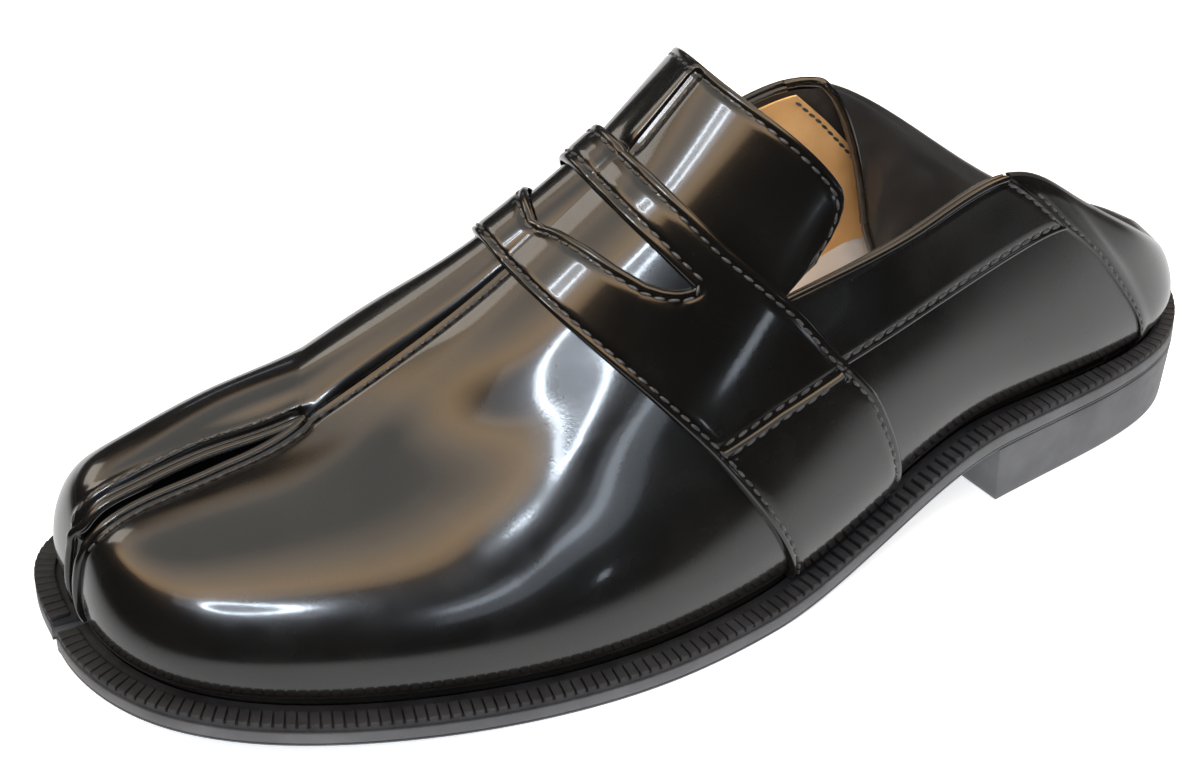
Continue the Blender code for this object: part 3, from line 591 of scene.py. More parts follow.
def open_cleft(table, place, line):
    """Just in front of the seam's end the rims part fast, and only the leather near them follows."""
    if place <= CLEFT_RIB or place >= CLEFT_RIB + 1:
        return line
    half = table[CLEFT_RIB + 1].y - CLEFT_Y
    rim_y = CLEFT_Y + half * math.sin(math.pi / 2 * math.sqrt(place - CLEFT_RIB))
    way = np.linalg.norm(np.diff(line, axis=0), axis=1)[::-1].cumsum()[::-1]
    near = 1.0 - smooth(np.append(way, 0.0) / PARTING_REACH)
    return line + np.outer(near * (rim_y - line[-1, 1]), [0.0, 1.0, 0.0])


print("ribs in the tables:", len(VAMP_OUTER) + len(VAMP_INNER) + len(WALL_OUTER) + len(WALL_INNER))

# %% [markdown]
# ## Skins
# A skin is a dense grid over one half of the vamp, or one wall of the quarter and heel. It answers one
# question: where is the point at this place along the shoe, this share of the way up, and so far out
# from the leather? Straps, bands, seams and stitches are then all drawn on a skin, as on a real last.

# %% Skins
Skin = namedtuple("Skin", "first points normals lengths")
SKIN_STEP, SKIN_ROWS = 0.02, 400
CREST_REACH, CREST_END, CREST_RUN = 7.0, 2.6, 0.4


def make_skin(first, points, side):
    normals = unit(np.cross(np.gradient(points, axis=1), np.gradient(points, axis=0)) * side)
    lengths = np.linalg.norm(np.diff(points, axis=1), axis=2).sum(axis=1)
    return Skin(first, points, normals, lengths)


def way_down(skin):
    """How far each point of a skin is from the ridge, in mm."""
    return (1.0 - np.linspace(0.0, 1.0, SKIN_ROWS))[None, :] * skin.lengths[:, None]


def share_crest(skin, places):
    """Near the ridge both halves of the vamp take the ridge's own upward direction."""
    along = np.gradient(skin.points[:, -1], axis=0)
    ridge = unit(np.stack([-along[:, 2], 0.0 * along[:, 1], along[:, 0]], axis=-1))
    behind = 1.0 - smooth((places - CREST_END) / CREST_RUN)
    share = ((1.0 - smooth(way_down(skin) / CREST_REACH)) * behind[:, None])[..., None]
    skin.normals[:] = unit(skin.normals * (1.0 - share) + ridge[:, None] * share)
    return skin


print("a skin has", SKIN_ROWS, "rows, and", round(1.0 / SKIN_STEP), "columns from rib to rib")

# %% [markdown]
# The outer flank of the vamp gets a last touch. Leather pulled over a last bridges small hollows, and in
# polish a hollow of half a millimetre breaks a highlight in two. So each line of the flank is drawn out
# lengthwise, and the part before the strap is made flatter.

# %% The outer flank
FILL_SPREAD, FILL_STEPS = 0.5, 120
FILL_START, FILL_START_RUN, FILL_END, FILL_END_RUN = 0.3, 0.8, 5.4, 1.2
FILL_TOP, FILL_TOP_RUN, FILL_FOOT_RUN = 6.0, 16.0, 12.0
FLAT_PLACE, FLAT_RUN, FLAT_WAY, FLAT_REACH, FLAT_LIFT = 1.18, 1.18, 31.0, 12.0, 0.7
DIP_PLACE, DIP_RUN, DIP_WAY, DIP_REACH, DIP_SLOPE, DIP_DEPTH = 2.3, 0.5, 42.0, 18.0, 0.10, 0.6
FLAT_TOP_RUN, FLAT_FOOT_RUN = 10.0, 8.0


def bell(value):
    return np.exp(-value ** 2 / 2.0)


def fill_flank(skin, places):
    """Bridge hollows along the shoe: each lengthwise line becomes a weighted mean of its neighbours."""
    weights = bell(np.arange(-FILL_STEPS, FILL_STEPS + 1) * SKIN_STEP / FILL_SPREAD)
    weights /= weights.sum()
    before = 2.0 * skin.points[:1] - skin.points[FILL_STEPS:0:-1]
    after = 2.0 * skin.points[-1:] - skin.points[-2:-FILL_STEPS - 2:-1]
    longer = np.concatenate([before, skin.points, after])
    drawn = sum(weight * longer[k:k + len(places)] for k, weight in enumerate(weights))
    lift = ((drawn - skin.points) * skin.normals).sum(axis=2)
    ahead = smooth((places - FILL_START) / FILL_START_RUN) * smooth((FILL_END - places) / FILL_END_RUN)
    way = way_down(skin)
    lift *= smooth((way - FILL_TOP) / FILL_TOP_RUN) * smooth((skin.lengths[:, None] - way) / FILL_FOOT_RUN)
    return skin.points + skin.normals * (lift * ahead[:, None])[..., None]


def flatten_flank(skin, places):
    """In front of the strap the pull makes the flank flatter, with a soft dip ahead of it."""
    way = way_down(skin)
    across = (way - FLAT_WAY) / FLAT_REACH
    along = ((places - FLAT_PLACE) / FLAT_RUN)[:, None]
    lift = FLAT_LIFT * across ** 2 / 2.0 * math.e * bell(across) * bell(along)
    dip = bell((way - DIP_WAY) / DIP_REACH) * bell((places - DIP_PLACE) / DIP_RUN)[:, None]
    lift += (DIP_SLOPE * (way - DIP_WAY) - DIP_DEPTH) * dip
    lift *= smooth(way / FLAT_TOP_RUN) * smooth((skin.lengths[:, None] - way) / FLAT_FOOT_RUN)
    return skin.points + skin.normals * lift[..., None]


print("the flank is drawn out over", 2.0 * FILL_SPREAD, "places, about the width of the strap")

# %% [markdown]
# The vamp's skin comes straight from its ribs. The wall's skin is bent near the strap until its last rib
# lies on the vamp's first one, so that quarter and vamp meet without a step.

# %% Both halves of the upper
SKIN_FIRST = -0.24         # the vamp's skin begins a little behind its first rib
GUIDE_START = 0.375


def vamp_skin(table, side):
    places = np.arange(SKIN_FIRST, len(table) - 1 + SKIN_STEP / 2, SKIN_STEP)
    points = np.array([open_cleft(table, place, even_rows(section(rib), SKIN_ROWS))
                       for place, rib in zip(places, vamp_ribs(table, places))])
    skin = make_skin(places[0], points, side)
    if side > 0:
        for shaped in (fill_flank, flatten_flank):
            skin = make_skin(places[0], shaped(skin, places), side)
    return share_crest(skin, places)


def throat_share(line, height):
    """Share of the first rib at which it is as high as the quarter's top line."""
    return float(np.interp(height, line[:, 2], np.linspace(0.0, 1.0, len(line))))


def wall_skin(table, front, side):
    """Wall of the heel and quarter; near the strap it takes the shape of the vamp's first rib."""
    guide = even_rows(front, SKIN_ROWS, throat_share(front, table[-1].z))
    places = np.arange(0.0, WALL_END + SKIN_STEP / 2, SKIN_STEP)
    start = CORNER_RIB + (WALL_END - CORNER_RIB) * GUIDE_START
    part = (guide - guide[0]) / (guide[-1] - guide[0])
    points, shares = [], []
    for place, rib in zip(places, between(table, places)):
        own = even_rows(section(rib), SKIN_ROWS)
        copy = own[0] + (own[-1] - own[0]) * part[:, [0, 2, 2]]
        copy[:, 1] += guide[:, 1] - guide[0, 1] - (guide[-1, 1] - guide[0, 1]) * part[:, 2]
        share = float(smooth((place - start) / (WALL_END - start)))
        points.append(own * (1.0 - share) + copy * share)
        shares.append(share)
    points = np.array(points)
    points += (guide - points[-1]) * np.array(shares)[:, None, None]
    return make_skin(0.0, points, side)


def on_skin(skin, place, share, lift=0.0):
    """Points at places along a skin, shares of the way up it and heights off it."""
    place, share, lift = np.broadcast_arrays(*(np.asarray(v, float) for v in (place, share, lift)))
    u = np.clip((place - skin.first) / SKIN_STEP, 0.0, len(skin.points) - 1.0)
    v = np.clip(share, 0.0, 1.0) * (SKIN_ROWS - 1)
    i = np.minimum(u.astype(int), len(skin.points) - 2)
    j = np.minimum(v.astype(int), SKIN_ROWS - 2)
    a, b = (u - i)[..., None], (v - j)[..., None]

    def mixed(table):
        low = table[i, j] * (1 - a) + table[i + 1, j] * a
        high = table[i, j + 1] * (1 - a) + table[i + 1, j + 1] * a
        return low * (1 - b) + high * b

    return mixed(skin.points) + mixed(skin.normals) * lift[..., None]


def on_side(half, place, share, lift=0.0):
    """Points of a quarter; beyond its front end they run on over the vamp, under the strap."""
    place, share, lift = np.broadcast_arrays(*(np.asarray(v, float) for v in (place, share, lift)))
    behind = on_skin(half.wall, place, share, lift)
    ahead = on_skin(half.vamp, place - WALL_END, share * half.throat, lift)
    return np.where((place > WALL_END)[..., None], ahead, behind)


def skin_length(skin, place):
    return np.interp(place, skin.first + SKIN_STEP * np.arange(len(skin.lengths)), skin.lengths)


def from_head(skin, place, way, lift=0.0):
    """Points of the vamp at ways down from the ridge, in mm."""
    return on_skin(skin, place, 1.0 - way / skin_length(skin, place), lift)


Half = namedtuple("Half", "name side vamp wall throat")


def make_half(name, side, vamp_table, wall_table):
    front = even_rows(section(vamp_ribs(vamp_table, [0.0])[0]), SKIN_ROWS)
    throat = throat_share(front, wall_table[-1].z)
    return Half(name, side, vamp_skin(vamp_table, side), wall_skin(wall_table, front, side), throat)


OUTER = make_half("outer", 1.0, VAMP_OUTER, WALL_OUTER)
INNER = make_half("inner", -1.0, VAMP_INNER, WALL_INNER)
HALVES = (OUTER, INNER)
print("length of the first ribs in mm:", [round(float(skin_length(h.vamp, 0.0)), 1) for h in HALVES])

# %% [markdown]
# ## Turning a grid into a sheet
# A sheet of leather starts as Blender's own grid primitive with the right number of rows and columns.
# Its vertices are then moved to their places on the skin, as one would snap a grid to a last. Sheets
# are joined, welded along their shared edges and thickened with a Solidify modifier where they show
# an edge.

# %% Sheets
SMOOTH_ANGLE = 42.0        # edges that turn more than this, in degrees, stay sharp


def select_only(piece):
    deselect()
    piece.select_set(True)
    bpy.context.view_layer.objects.active = piece


def edit(piece):
    select_only(piece)
    bpy.ops.object.mode_set(mode="EDIT")
    bpy.ops.mesh.select_all(action="SELECT")


def leave_edit():
    bpy.ops.object.mode_set(mode="OBJECT")


def sheet(name, grid, side):
    """A grid primitive with its vertices moved to the points of a grid: columns, then rows."""
    grid = grid if side > 0 else grid[::-1]
    columns, rows = grid.shape[:2]
    deselect()
    bpy.ops.mesh.primitive_grid_add(x_subdivisions=rows - 1, y_subdivisions=columns - 1, size=1.0)
    piece = bpy.context.object
    piece.name = piece.data.name = name
    piece.data.vertices.foreach_set("co", to_scene(grid.reshape(-1, 3)).ravel())
    piece.data.update()
    return piece


def join(name, pieces, weld=0.02):
    deselect()
    for piece in pieces:
        piece.select_set(True)
    bpy.context.view_layer.objects.active = pieces[0]
    bpy.ops.object.join()
    edit(pieces[0])
    bpy.ops.mesh.remove_doubles(threshold=weld * MM)
    leave_edit()
    pieces[0].name = pieces[0].data.name = name
    return pieces[0]


def thicken(piece, thickness, offset, **settings):
    """Give a sheet its thickness in mm with a Solidify modifier."""
    select_only(piece)
    modifier = piece.modifiers.new("thickness", "SOLIDIFY")
    modifier.thickness, modifier.offset = thickness * MM, offset
    for setting, value in settings.items():
        setattr(modifier, setting, value)
    bpy.ops.object.modifier_apply(modifier=modifier.name)


def done(piece, finishes, slot, *nodes):
    """Finishes, smooth shading and body of a finished piece; the slot argument is not used."""
    index = np.zeros(len(piece.data.polygons), int)
    piece.data.polygons.foreach_get("material_index", index)
    piece.data.materials.clear()
    for finish in finishes:
        piece.data.materials.append(finish)
    piece.data.polygons.foreach_set("material_index", np.minimum(index, len(finishes) - 1))
    select_only(piece)
    bpy.ops.object.shade_smooth_by_angle(angle=math.radians(SMOOTH_ANGLE))
    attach(piece, "root")
    if nodes:
        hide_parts(*nodes)
    print(piece.name, "has", len(piece.data.polygons), "faces")


# %% [markdown]
# ## The upper
# The upper is one shell: two halves of the vamp that meet in a stitched seam, the walls of the cleft,
# the tongue, both quarters, and the heel panel, which is folded inwards. The seams are raised or sunk
# as part of the sheet: short tables give the height of the leather at ways from a seam or an edge.

# %% Relief of the seams
SEAM_WAYS = (0.0, 0.12, 0.35, 0.7, 1.1, 1.5, 1.9, 2.3, 2.7, 3.05, 3.4, 3.8, 4.4, 5.2, 6.2)
NEAR_RELIEF = (0.0, 0.1, 0.1, 0.0, -0.15, -0.32, -0.44, -0.46, -0.38, -0.27, -0.16, -0.08, -0.02, 0.0, 0.0)
FAR_RELIEF = (0.0, 0.1, 0.05, -0.12, -0.34, -0.40, -0.22, 0.12, 0.44, 0.62, 0.68, 0.58, 0.30, 0.05, 0.0)
RAISED_RELIEF = (0.0, 0.45, 0.66, 0.74, 0.74, 0.72, 0.68, 0.62, 0.55, 0.48, 0.40, 0.30, 0.18, 0.07, 0.0)
SUNK_RELIEF = (0.0, -0.06, -0.18, -0.36, -0.50, -0.54, -0.46, -0.32, -0.18, -0.09, -0.03, 0.0, 0.0, 0.0, 0.0)
STRAP_FRONT_PLACE, STRAP_FRONT_RUN = 0.85, 0.08    # the seam is flat under the strap, behind this place
CLEFT_START, CLEFT_START_RUN = 2.86, 0.28          # from here on the seam is the rim of the cleft


def seam_relief(half, place, way):
    """Height of the vamp at a way from its centre seam or the rim of the cleft."""
    centre = np.interp(way, SEAM_WAYS, SUNK_RELIEF if half.side > 0 else RAISED_RELIEF)
    cleft = np.interp(way, SEAM_WAYS, NEAR_RELIEF if half.side > 0 else FAR_RELIEF)
    share = smooth((place - CLEFT_START) / CLEFT_START_RUN)
    shown = smooth((place - STRAP_FRONT_PLACE) / STRAP_FRONT_RUN)
    return (centre * (1.0 - share) + cleft * share) * shown


EDGE_WAYS = (0.0, 0.06, 0.2, 0.45, 0.8, 1.2, 1.6, 2.0, 2.4, 2.8, 3.3)
EDGE_SHARE = (0.06, 0.42, 0.70, 0.90, 0.99, 1.0, 1.0, 1.0, 1.0, 1.0, 1.0)
EDGE_GROOVE = (0.0, 0.0, 0.0, 0.0, 0.0, -0.02, -0.16, -0.30, -0.30, -0.14, 0.0)
STITCH_WAY = 2.2


def edge_relief(way, thick, groove=1.0):
    """Height of a leather edge: rounded over, then pinched down along its stitches."""
    return thick * np.interp(way, EDGE_WAYS, EDGE_SHARE) + groove * np.interp(way, EDGE_WAYS, EDGE_GROOVE)


print("edges are rounded over", EDGE_WAYS[4], "mm and sewn", STITCH_WAY, "mm in")

# %% [markdown]
# The rows of the vamp are close together at the seam, where the relief changes fast, and wide apart
# below. The wall of the cleft hangs from the rim of each lobe down to the sole, and at its end to the
# web between the lobes.

# %% Vamp and cleft
WALL_ROWS = np.concatenate([np.linspace(0.0, 0.955, 40), [0.97, 0.982, 0.990, 0.9955, 1.0]])
VAMP_PLACES = np.concatenate([
    np.linspace(0.0, 1.0, 17)[:-1], np.linspace(1.0, 2.0, 16)[:-1], np.linspace(2.0, 2.8, 13)[:-1],
    np.linspace(2.8, 3.0, 7)[:-1], 3.0 + np.linspace(0.0, 1.0, 30)[:-1] ** 1.6,
    np.linspace(4.0, 5.0, 19)[:-1], np.linspace(5.0, 6.0, 17)[:-1], np.linspace(6.0, 7.0, 15)])
UPPER_ROWS = 26
WEB_SHARE, WEB_DROP, WEB_FLARE, CLEFT_HALF = 0.45, 8.0, 0.25, 2.2


def vamp_grid(half, places):
    """Columns of the vamp from the sole to the seam."""
    columns = []
    for place in places:
        length = skin_length(half.vamp, place)
        low = length * (1.0 - half.throat * WALL_ROWS)
        high = np.linspace(low[-1], SEAM_WAYS[-1], UPPER_ROWS)[1:-1]
        ways = np.concatenate([low, high, SEAM_WAYS[::-1]])
        points = from_head(half.vamp, place, ways, seam_relief(half, place, ways))
        columns.append(np.vstack([points[:1] - [0.0, 0.0, TUCK], points]))
    return np.array(columns)


def cleft_grid(half, columns):
    """The wall of one lobe inside the cleft, from its rim down to the sole."""
    heads = columns[:, -1]
    front = columns[-1][::-1]
    climb = way_along(front)
    shares = (climb / climb[-1])[:, None]
    start = heads[0] - [0.0, 0.0, WEB_DROP]
    end = np.array([SLOT_END, CLEFT_Y, bed(SLOT_END) + GAP])
    result = []
    travel = (heads[:, 0] - heads[0, 0]) / (heads[-1, 0] - heads[0, 0])
    for head, share in zip(heads, travel):
        if share < WEB_SHARE:
            web = share / WEB_SHARE
            foot = start + (end - start) * [web, web, math.sin(web * math.pi / 2)]
        else:
            run = (share - WEB_SHARE) / (1.0 - WEB_SHARE)
            foot = end + (front[-1] - end) * run
            foot[1] = CLEFT_Y + half.side * CLEFT_HALF * min(1.0, run / WEB_FLARE)
            foot[2] = bed(foot[0]) + GAP
        result.append(head + (foot - head) * shares)
    result[-1] = front
    return np.array(result)


VAMP_GRIDS = [vamp_grid(half, VAMP_PLACES) for half in HALVES]
LOBE_START = int(np.argmin(np.abs(VAMP_PLACES - CLEFT_RIB)))
CLEFT_GRIDS = [cleft_grid(half, grid[LOBE_START:]) for half, grid in zip(HALVES, VAMP_GRIDS)]
print("columns and rows of a vamp half:", VAMP_GRIDS[0].shape[:2])

# %% [markdown]
# The tongue is the vamp carried on behind the strap: each row runs from the first rib to a point of the
# tongue's free edge. The edge is rounded over and pinched along its stitches, like every cut edge here.

# %% Tongue
TONGUE_TIP = np.array((140.0, -4.0, 119.5))
TONGUE_LOW = {"outer": np.array((119.0, 30.5, 88.0)), "inner": np.array((126.0, -35.0, 87.0))}
TONGUE_SQUARE, TONGUE_LEAN, TONGUE_ROUND = 0.94, 1.9, 0.22
TONGUE_REACH = 25.0        # mm from the first rib to the free edge, near enough for its columns
TONGUE_COLUMNS = np.concatenate([np.linspace(0.0, 0.84, 14), 1.0 - np.array(EDGE_WAYS[::-1]) / TONGUE_REACH])
TONGUE_DROP, TONGUE_SEAM_RUN = 1.1, 0.12


def tongue_edge(half, shares):
    low = TONGUE_LOW[half.name]
    angle = np.linspace(0.0, math.pi / 2, SECTION_POINTS)
    inward = 1.0 - np.cos(angle) ** TONGUE_SQUARE
    upward = np.sin(angle) ** TONGUE_SQUARE
    line = low + (TONGUE_TIP - low) * np.stack([upward ** TONGUE_LEAN, inward, upward], axis=-1)
    way = way_along(line)
    return read_rows(shares * way[-1], way, line)


def grid_normals(grid, side):
    return unit(np.cross(np.gradient(grid, axis=1), np.gradient(grid, axis=0)) * side)


def tongue_sheet(half, start):
    """The bare tongue, from the first rib back to its edge: columns, then rows."""
    climb = way_along(start) / way_along(start)[-1]
    end = tongue_edge(half, climb)
    corner = np.clip(climb / TONGUE_ROUND, 0.0, 1.0)
    reach = (end - start) * np.sqrt(1.0 - (1.0 - corner) ** 2)[:, None]
    return start + reach * TONGUE_COLUMNS[:, None, None]


def tongue_grid(half, first):
    """The tongue with its relief, the bare tongue and its outward directions."""
    bare = tongue_sheet(half, first)
    normal = grid_normals(bare, -half.side)
    crest = unit(normal[:, -1] * [1.0, 0.0, 1.0])
    to_head = np.array([way_along(column[::-1])[::-1] for column in bare])
    near = (1.0 - smooth(to_head / CREST_REACH))[..., None]
    normal = normal * (1.0 - near) + crest[:, None] * near
    to_edge = np.linalg.norm(bare[-1] - bare[0], axis=1) * (1.0 - TONGUE_COLUMNS)[:, None]
    seam = np.interp(to_head, SEAM_WAYS, SUNK_RELIEF if half.side > 0 else RAISED_RELIEF)
    seam = seam * smooth(TONGUE_COLUMNS / TONGUE_SEAM_RUN)[:, None]
    fade = np.interp(to_edge, (0.5, 2.0), (0.0, 1.0))
    lift = edge_relief(to_edge, TONGUE_DROP) - TONGUE_DROP + seam * fade
    lift[0] = 0.0
    return bare + normal * lift[..., None], bare, normal


THROAT_ROW = len(WALL_ROWS)
TONGUES = [tongue_grid(half, grid[0][THROAT_ROW:]) for half, grid in zip(HALVES, VAMP_GRIDS)]
print("the tongue's tip stands at", round(float(TONGUES[0][0][-1, -1, 2]), 1), "mm")

# %% [markdown]
# The heel panel laps over the quarter in a stitched seam, so the wall's columns are drawn along that
# seam: between it and the back of the heel, and between it and the strap.

# %% Wall
SEAM_SHARES = (0.0, 0.14, 0.295, 0.404, 0.508, 0.616, 0.70, 0.85, 1.0)
SEAM_PLACES = (3.50, 3.55, 3.70, 3.745, 3.77, 3.85, 3.94, 3.99, 4.0)
LAP_WAYS = (0.0, 0.06, 0.2, 0.45, 0.8, 1.2, 1.6, 2.0, 2.4, 2.9, 3.6, 4.6, 6.0, 8.0)
LAP_THICK, LAP_START, LAP_RUN, LAP_SPAN = 0.75, 4.0, 16.0, 74.0
LAP_GROOVE, LAP_TOP, LAP_TOP_RUN = 0.8, 0.90, 0.09
QUARTER_EDGE, QUARTER_EDGE_START, QUARTER_EDGE_RUN = 0.8, 4.02, 0.1


def rear_seam(share):
    return np.interp(share, SEAM_SHARES, SEAM_PLACES)


HEEL_T = 1.0 - np.concatenate([LAP_WAYS, np.linspace(10.0, LAP_SPAN, 34)]) / LAP_SPAN
QUARTER_T = np.concatenate([[0.002, 0.008, 0.02, 0.04], np.linspace(0.06, 1.0, 40)])


def lap_height(way, share):
    """Height of the heel panel's edge over the quarter, at ways behind the seam."""
    run = 1.0 - smooth((way - LAP_START) / LAP_RUN)
    return edge_relief(way, LAP_THICK, LAP_GROOVE) * run * (1.0 - smooth((share - LAP_TOP) / LAP_TOP_RUN))


def wall_grid(half):
    """Wall from the back of the heel to the strap: columns, then rows."""
    seam = rear_seam(WALL_ROWS)
    columns = []
    for t in HEEL_T[::-1]:
        lift = lap_height((1.0 - t) * LAP_SPAN, WALL_ROWS)
        columns.append(on_skin(half.wall, seam * t, WALL_ROWS, lift))
    for t in QUARTER_T:
        place = seam + (WALL_END - seam) * t
        top = (1.0 - WALL_ROWS) * skin_length(half.wall, place)
        drop = edge_relief(top, QUARTER_EDGE, 0.0) - QUARTER_EDGE
        drop = drop * smooth((place - QUARTER_EDGE_START) / QUARTER_EDGE_RUN)
        columns.append(on_skin(half.wall, place, WALL_ROWS, drop))
    columns[-1] = half_front(half)
    grid = np.array(columns)
    return np.concatenate([grid[:, :1] - [0.0, 0.0, TUCK], grid], axis=1)


def half_front(half):
    """The vamp's first rib as far as the throat, where quarter and vamp are welded."""
    return from_head(half.vamp, 0.0, skin_length(half.vamp, 0.0) * (1.0 - half.throat * WALL_ROWS))


WALLS = [wall_grid(half) for half in HALVES]
print("columns and rows of a wall:", WALLS[0].shape[:2])

# %% [markdown]
# Beyond the heads of the heel ribs the panel rolls over the fold and runs down inside the shoe to its
# free edge. Creases gather in the folded leather, because it has been pressed down by a heel.

# %% Fold and flap
Fold = namedtuple("Fold", "x y z turn back")
FOLD_OUTER = (
    Fold(58.0, -4.0, 26.6, 100, 0), Fold(60.0, 2.5, 27.0, 112, 0), Fold(64.0, 8.5, 29.5, 132, 0),
    Fold(68.0, 14.5, 38.0, 150, 3), Fold(68.0, 20.5, 52.0, 165, 8),
)
FOLD_INNER = (
    Fold(58.0, -4.0, 26.6, 100, 0), Fold(62.0, -10.0, 27.0, 112, 0), Fold(70.0, -15.5, 29.5, 132, 0),
    Fold(77.0, -20.0, 37.0, 150, 3), Fold(80.0, -23.0, 49.0, 165, 8),
)
FOLDS = {"outer": FOLD_OUTER, "inner": FOLD_INNER}
FOLD_RADIUS, FOLD_PULL = 3.0, 0.2
FOLD_THIN, FOLD_THIN_START, FOLD_THIN_RUN = 2.0, 2.8, 1.2      # the fold is tighter near the quarter
FOLD_SOFT, FOLD_SHARP, FOLD_SHARP_START, FOLD_SHARP_RUN = 5.0, 0.8, 1.6, 2.2
SOFTEN_STEP, SOFTEN_REACH = 0.4, 2.6
ARC_ROWS, FLAP_ROWS = 10, 34
CREASES, CREASE_FIRST, CREASE_STEP, CREASE_WIDTH, CREASE_DEPTH = 10, 3.72, 0.21, 0.075, 0.75
CREASE_START, CREASE_START_RUN = 0.4, 0.8
CREASE_SLOPE, CREASE_TOP, CREASE_MIDDLE, CREASE_FOOT, CREASE_FADE = 0.55, 0.22, 0.55, 0.78, 0.2


def creases(place, run):
    """Soft troughs in the folded panel, by place along it and share of the way down it.

    No two are alike: sines of the crease's number shift, slant and deepen each in its own way.
    """
    total = np.zeros(np.broadcast(place, run).shape)
    for k in range(CREASES):
        middle = CREASE_FIRST - CREASE_STEP * k + 0.05 * math.sin(2.3 * k)
        slope = CREASE_SLOPE + 0.16 * math.sin(1.7 * k)
        across = (place - middle - slope * (run - CREASE_MIDDLE)) / CREASE_WIDTH
        top, foot = CREASE_TOP + 0.05 * math.sin(k), CREASE_FOOT + 0.1 * math.sin(3 * k)
        span = smooth((run - top) / CREASE_FADE) * (1.0 - smooth((run - foot) / CREASE_FADE))
        total += (CREASE_DEPTH + 0.25 * math.sin(2.9 * k)) * np.exp(-across ** 2) * span
    return -total * smooth((place - CREASE_START) / CREASE_START_RUN)


def flap_grid(half, heads, tangents, places):
    """Round the fold from each head of the heel, then down to the panel's free edge."""
    up = np.array([0.0, 0.0, 1.0])
    ribs = between(WALL_OUTER if half.side > 0 else WALL_INNER, places)
    folds = between(FOLDS[half.name], places)
    columns = []
    for place, head, tangent, rib, fold in zip(places, heads, tangents, ribs, folds):
        slope = rim_direction(rib.foot)
        inward = np.array([slope[1], -slope[0], 0.0])
        start = math.atan2(tangent @ inward, tangent @ up)
        end = math.radians(fold.turn)
        angle = np.linspace(start, end, ARC_ROWS + 1)[1:, None]
        arc = inward * (math.cos(start) - np.cos(angle)) + up * (np.sin(angle) - math.sin(start))
        thin = FOLD_THIN * float(smooth((place - FOLD_THIN_START) / FOLD_THIN_RUN))
        arc = head + arc * (FOLD_RADIUS - thin)
        edge = np.array([fold.x, fold.y, fold.z])
        heading = inward * math.sin(end) + up * math.cos(end)
        knee = arc[-1] + heading * FOLD_PULL * np.linalg.norm(edge - arc[-1])
        knee[0] -= fold.back
        share = np.linspace(0.0, 1.0, FLAP_ROWS + 1)[1:, None]
        flap = (1 - share) ** 2 * arc[-1] + 2 * share * (1 - share) * knee + share ** 2 * edge
        columns.append(np.vstack([head, arc, flap]))
    grid = np.array(columns)
    run = np.concatenate([np.zeros(ARC_ROWS + 1), np.linspace(0.0, 1.0, FLAP_ROWS + 1)[1:]])
    return grid + grid_normals(grid, half.side) * creases(places[:, None], run[None, :])[..., None]


def soften(line, head, spread):
    """Round off a line near one of its points, as by rubbing it down over a spread in mm."""
    way = way_along(line)
    fine = np.arange(0.0, way[-1], SOFTEN_STEP)
    weight = bell((way[:, None] - fine) / spread)
    rubbed = weight @ read_rows(fine, way, line) / weight.sum(axis=1, keepdims=True)
    near = np.exp(-((way - way[head]) / (SOFTEN_REACH * spread)) ** 2)[:, None]
    return line + (rubbed - line) * near


HEEL_PLACES = CORNER_RIB * HEEL_T[::-1]
FLAPS = []
for half, wall in zip(HALVES, WALLS):
    heel = wall[:len(HEEL_T)]
    flap = flap_grid(half, heel[:, -1], unit(heel[:, -1] - heel[:, -2]), HEEL_PLACES)
    head = heel.shape[1] - 1
    for k, place in enumerate(HEEL_PLACES):
        soft = 1.0 - float(smooth((place - FOLD_SHARP_START) / FOLD_SHARP_RUN))
        spread = FOLD_SHARP + (FOLD_SOFT - FOLD_SHARP) * soft
        line = soften(np.vstack([heel[k], flap[k, 1:]]), head, spread)
        heel[k], flap[k] = line[:head + 1], line[head:]
    FLAPS.append(flap)
print("columns and rows of a flap:", FLAPS[0].shape[:2])

# %% [markdown]
# The sheets are now joined and welded into one shell, and Solidify gives the leather its thickness. The
# material offset puts a dark lining on the inner side. The tongue is a shell of its own, so that lamps
# can be aimed at it.

# %% Upper and tongue
def shell(name, sheets, finishes):
    """Sheets joined into one leather shell, with the last finish on its inner side."""
    for piece in sheets:
        for finish in finishes:
            piece.data.materials.append(finish)
    piece = join(name, sheets)
    thicken(piece, LEATHER, -1.0, use_even_offset=False,
            material_offset=len(finishes) - 1, material_offset_rim=0)
    return piece


def make_upper(finishes):
    sheets = []
    for k, half in enumerate(HALVES):
        for name, grids in (("vamp", VAMP_GRIDS), ("cleft", CLEFT_GRIDS), ("wall", WALLS), ("flap", FLAPS)):
            sheets.append(sheet(name, grids[k], half.side))
        for polygon in sheets[-1].data.polygons:
            polygon.material_index = 1
    return shell("upper_leather", sheets, finishes)


UPPER_FINISHES = (POLISHED, CREASED_PAINTED_SHEEN, DARK_LINING)
UPPER = make_upper(UPPER_FINISHES)
done(UPPER, UPPER_FINISHES, "polished_leather", "upper")
TONGUE_FINISHES = (POLISHED, DARK_LINING)
TONGUE_SHEETS = [sheet("tongue", grids[0], -half.side) for half, grids in zip(HALVES, TONGUES)]
TONGUE = shell("tongue_leather", TONGUE_SHEETS, TONGUE_FINISHES)
done(TONGUE, TONGUE_FINISHES, "polished_leather")

# %% [markdown]
# ## The saddle strap
# The strap is a band of leather over the instep, with a long slot across its middle and a lip whose
# edge comes to a notch at the ridge. It is drawn as two strips, one behind the slot and one in front,
# which weld where the slot ends. The height of each point comes from its way to the nearest cut edge,
# so every edge is rounded and pinched along its stitches.

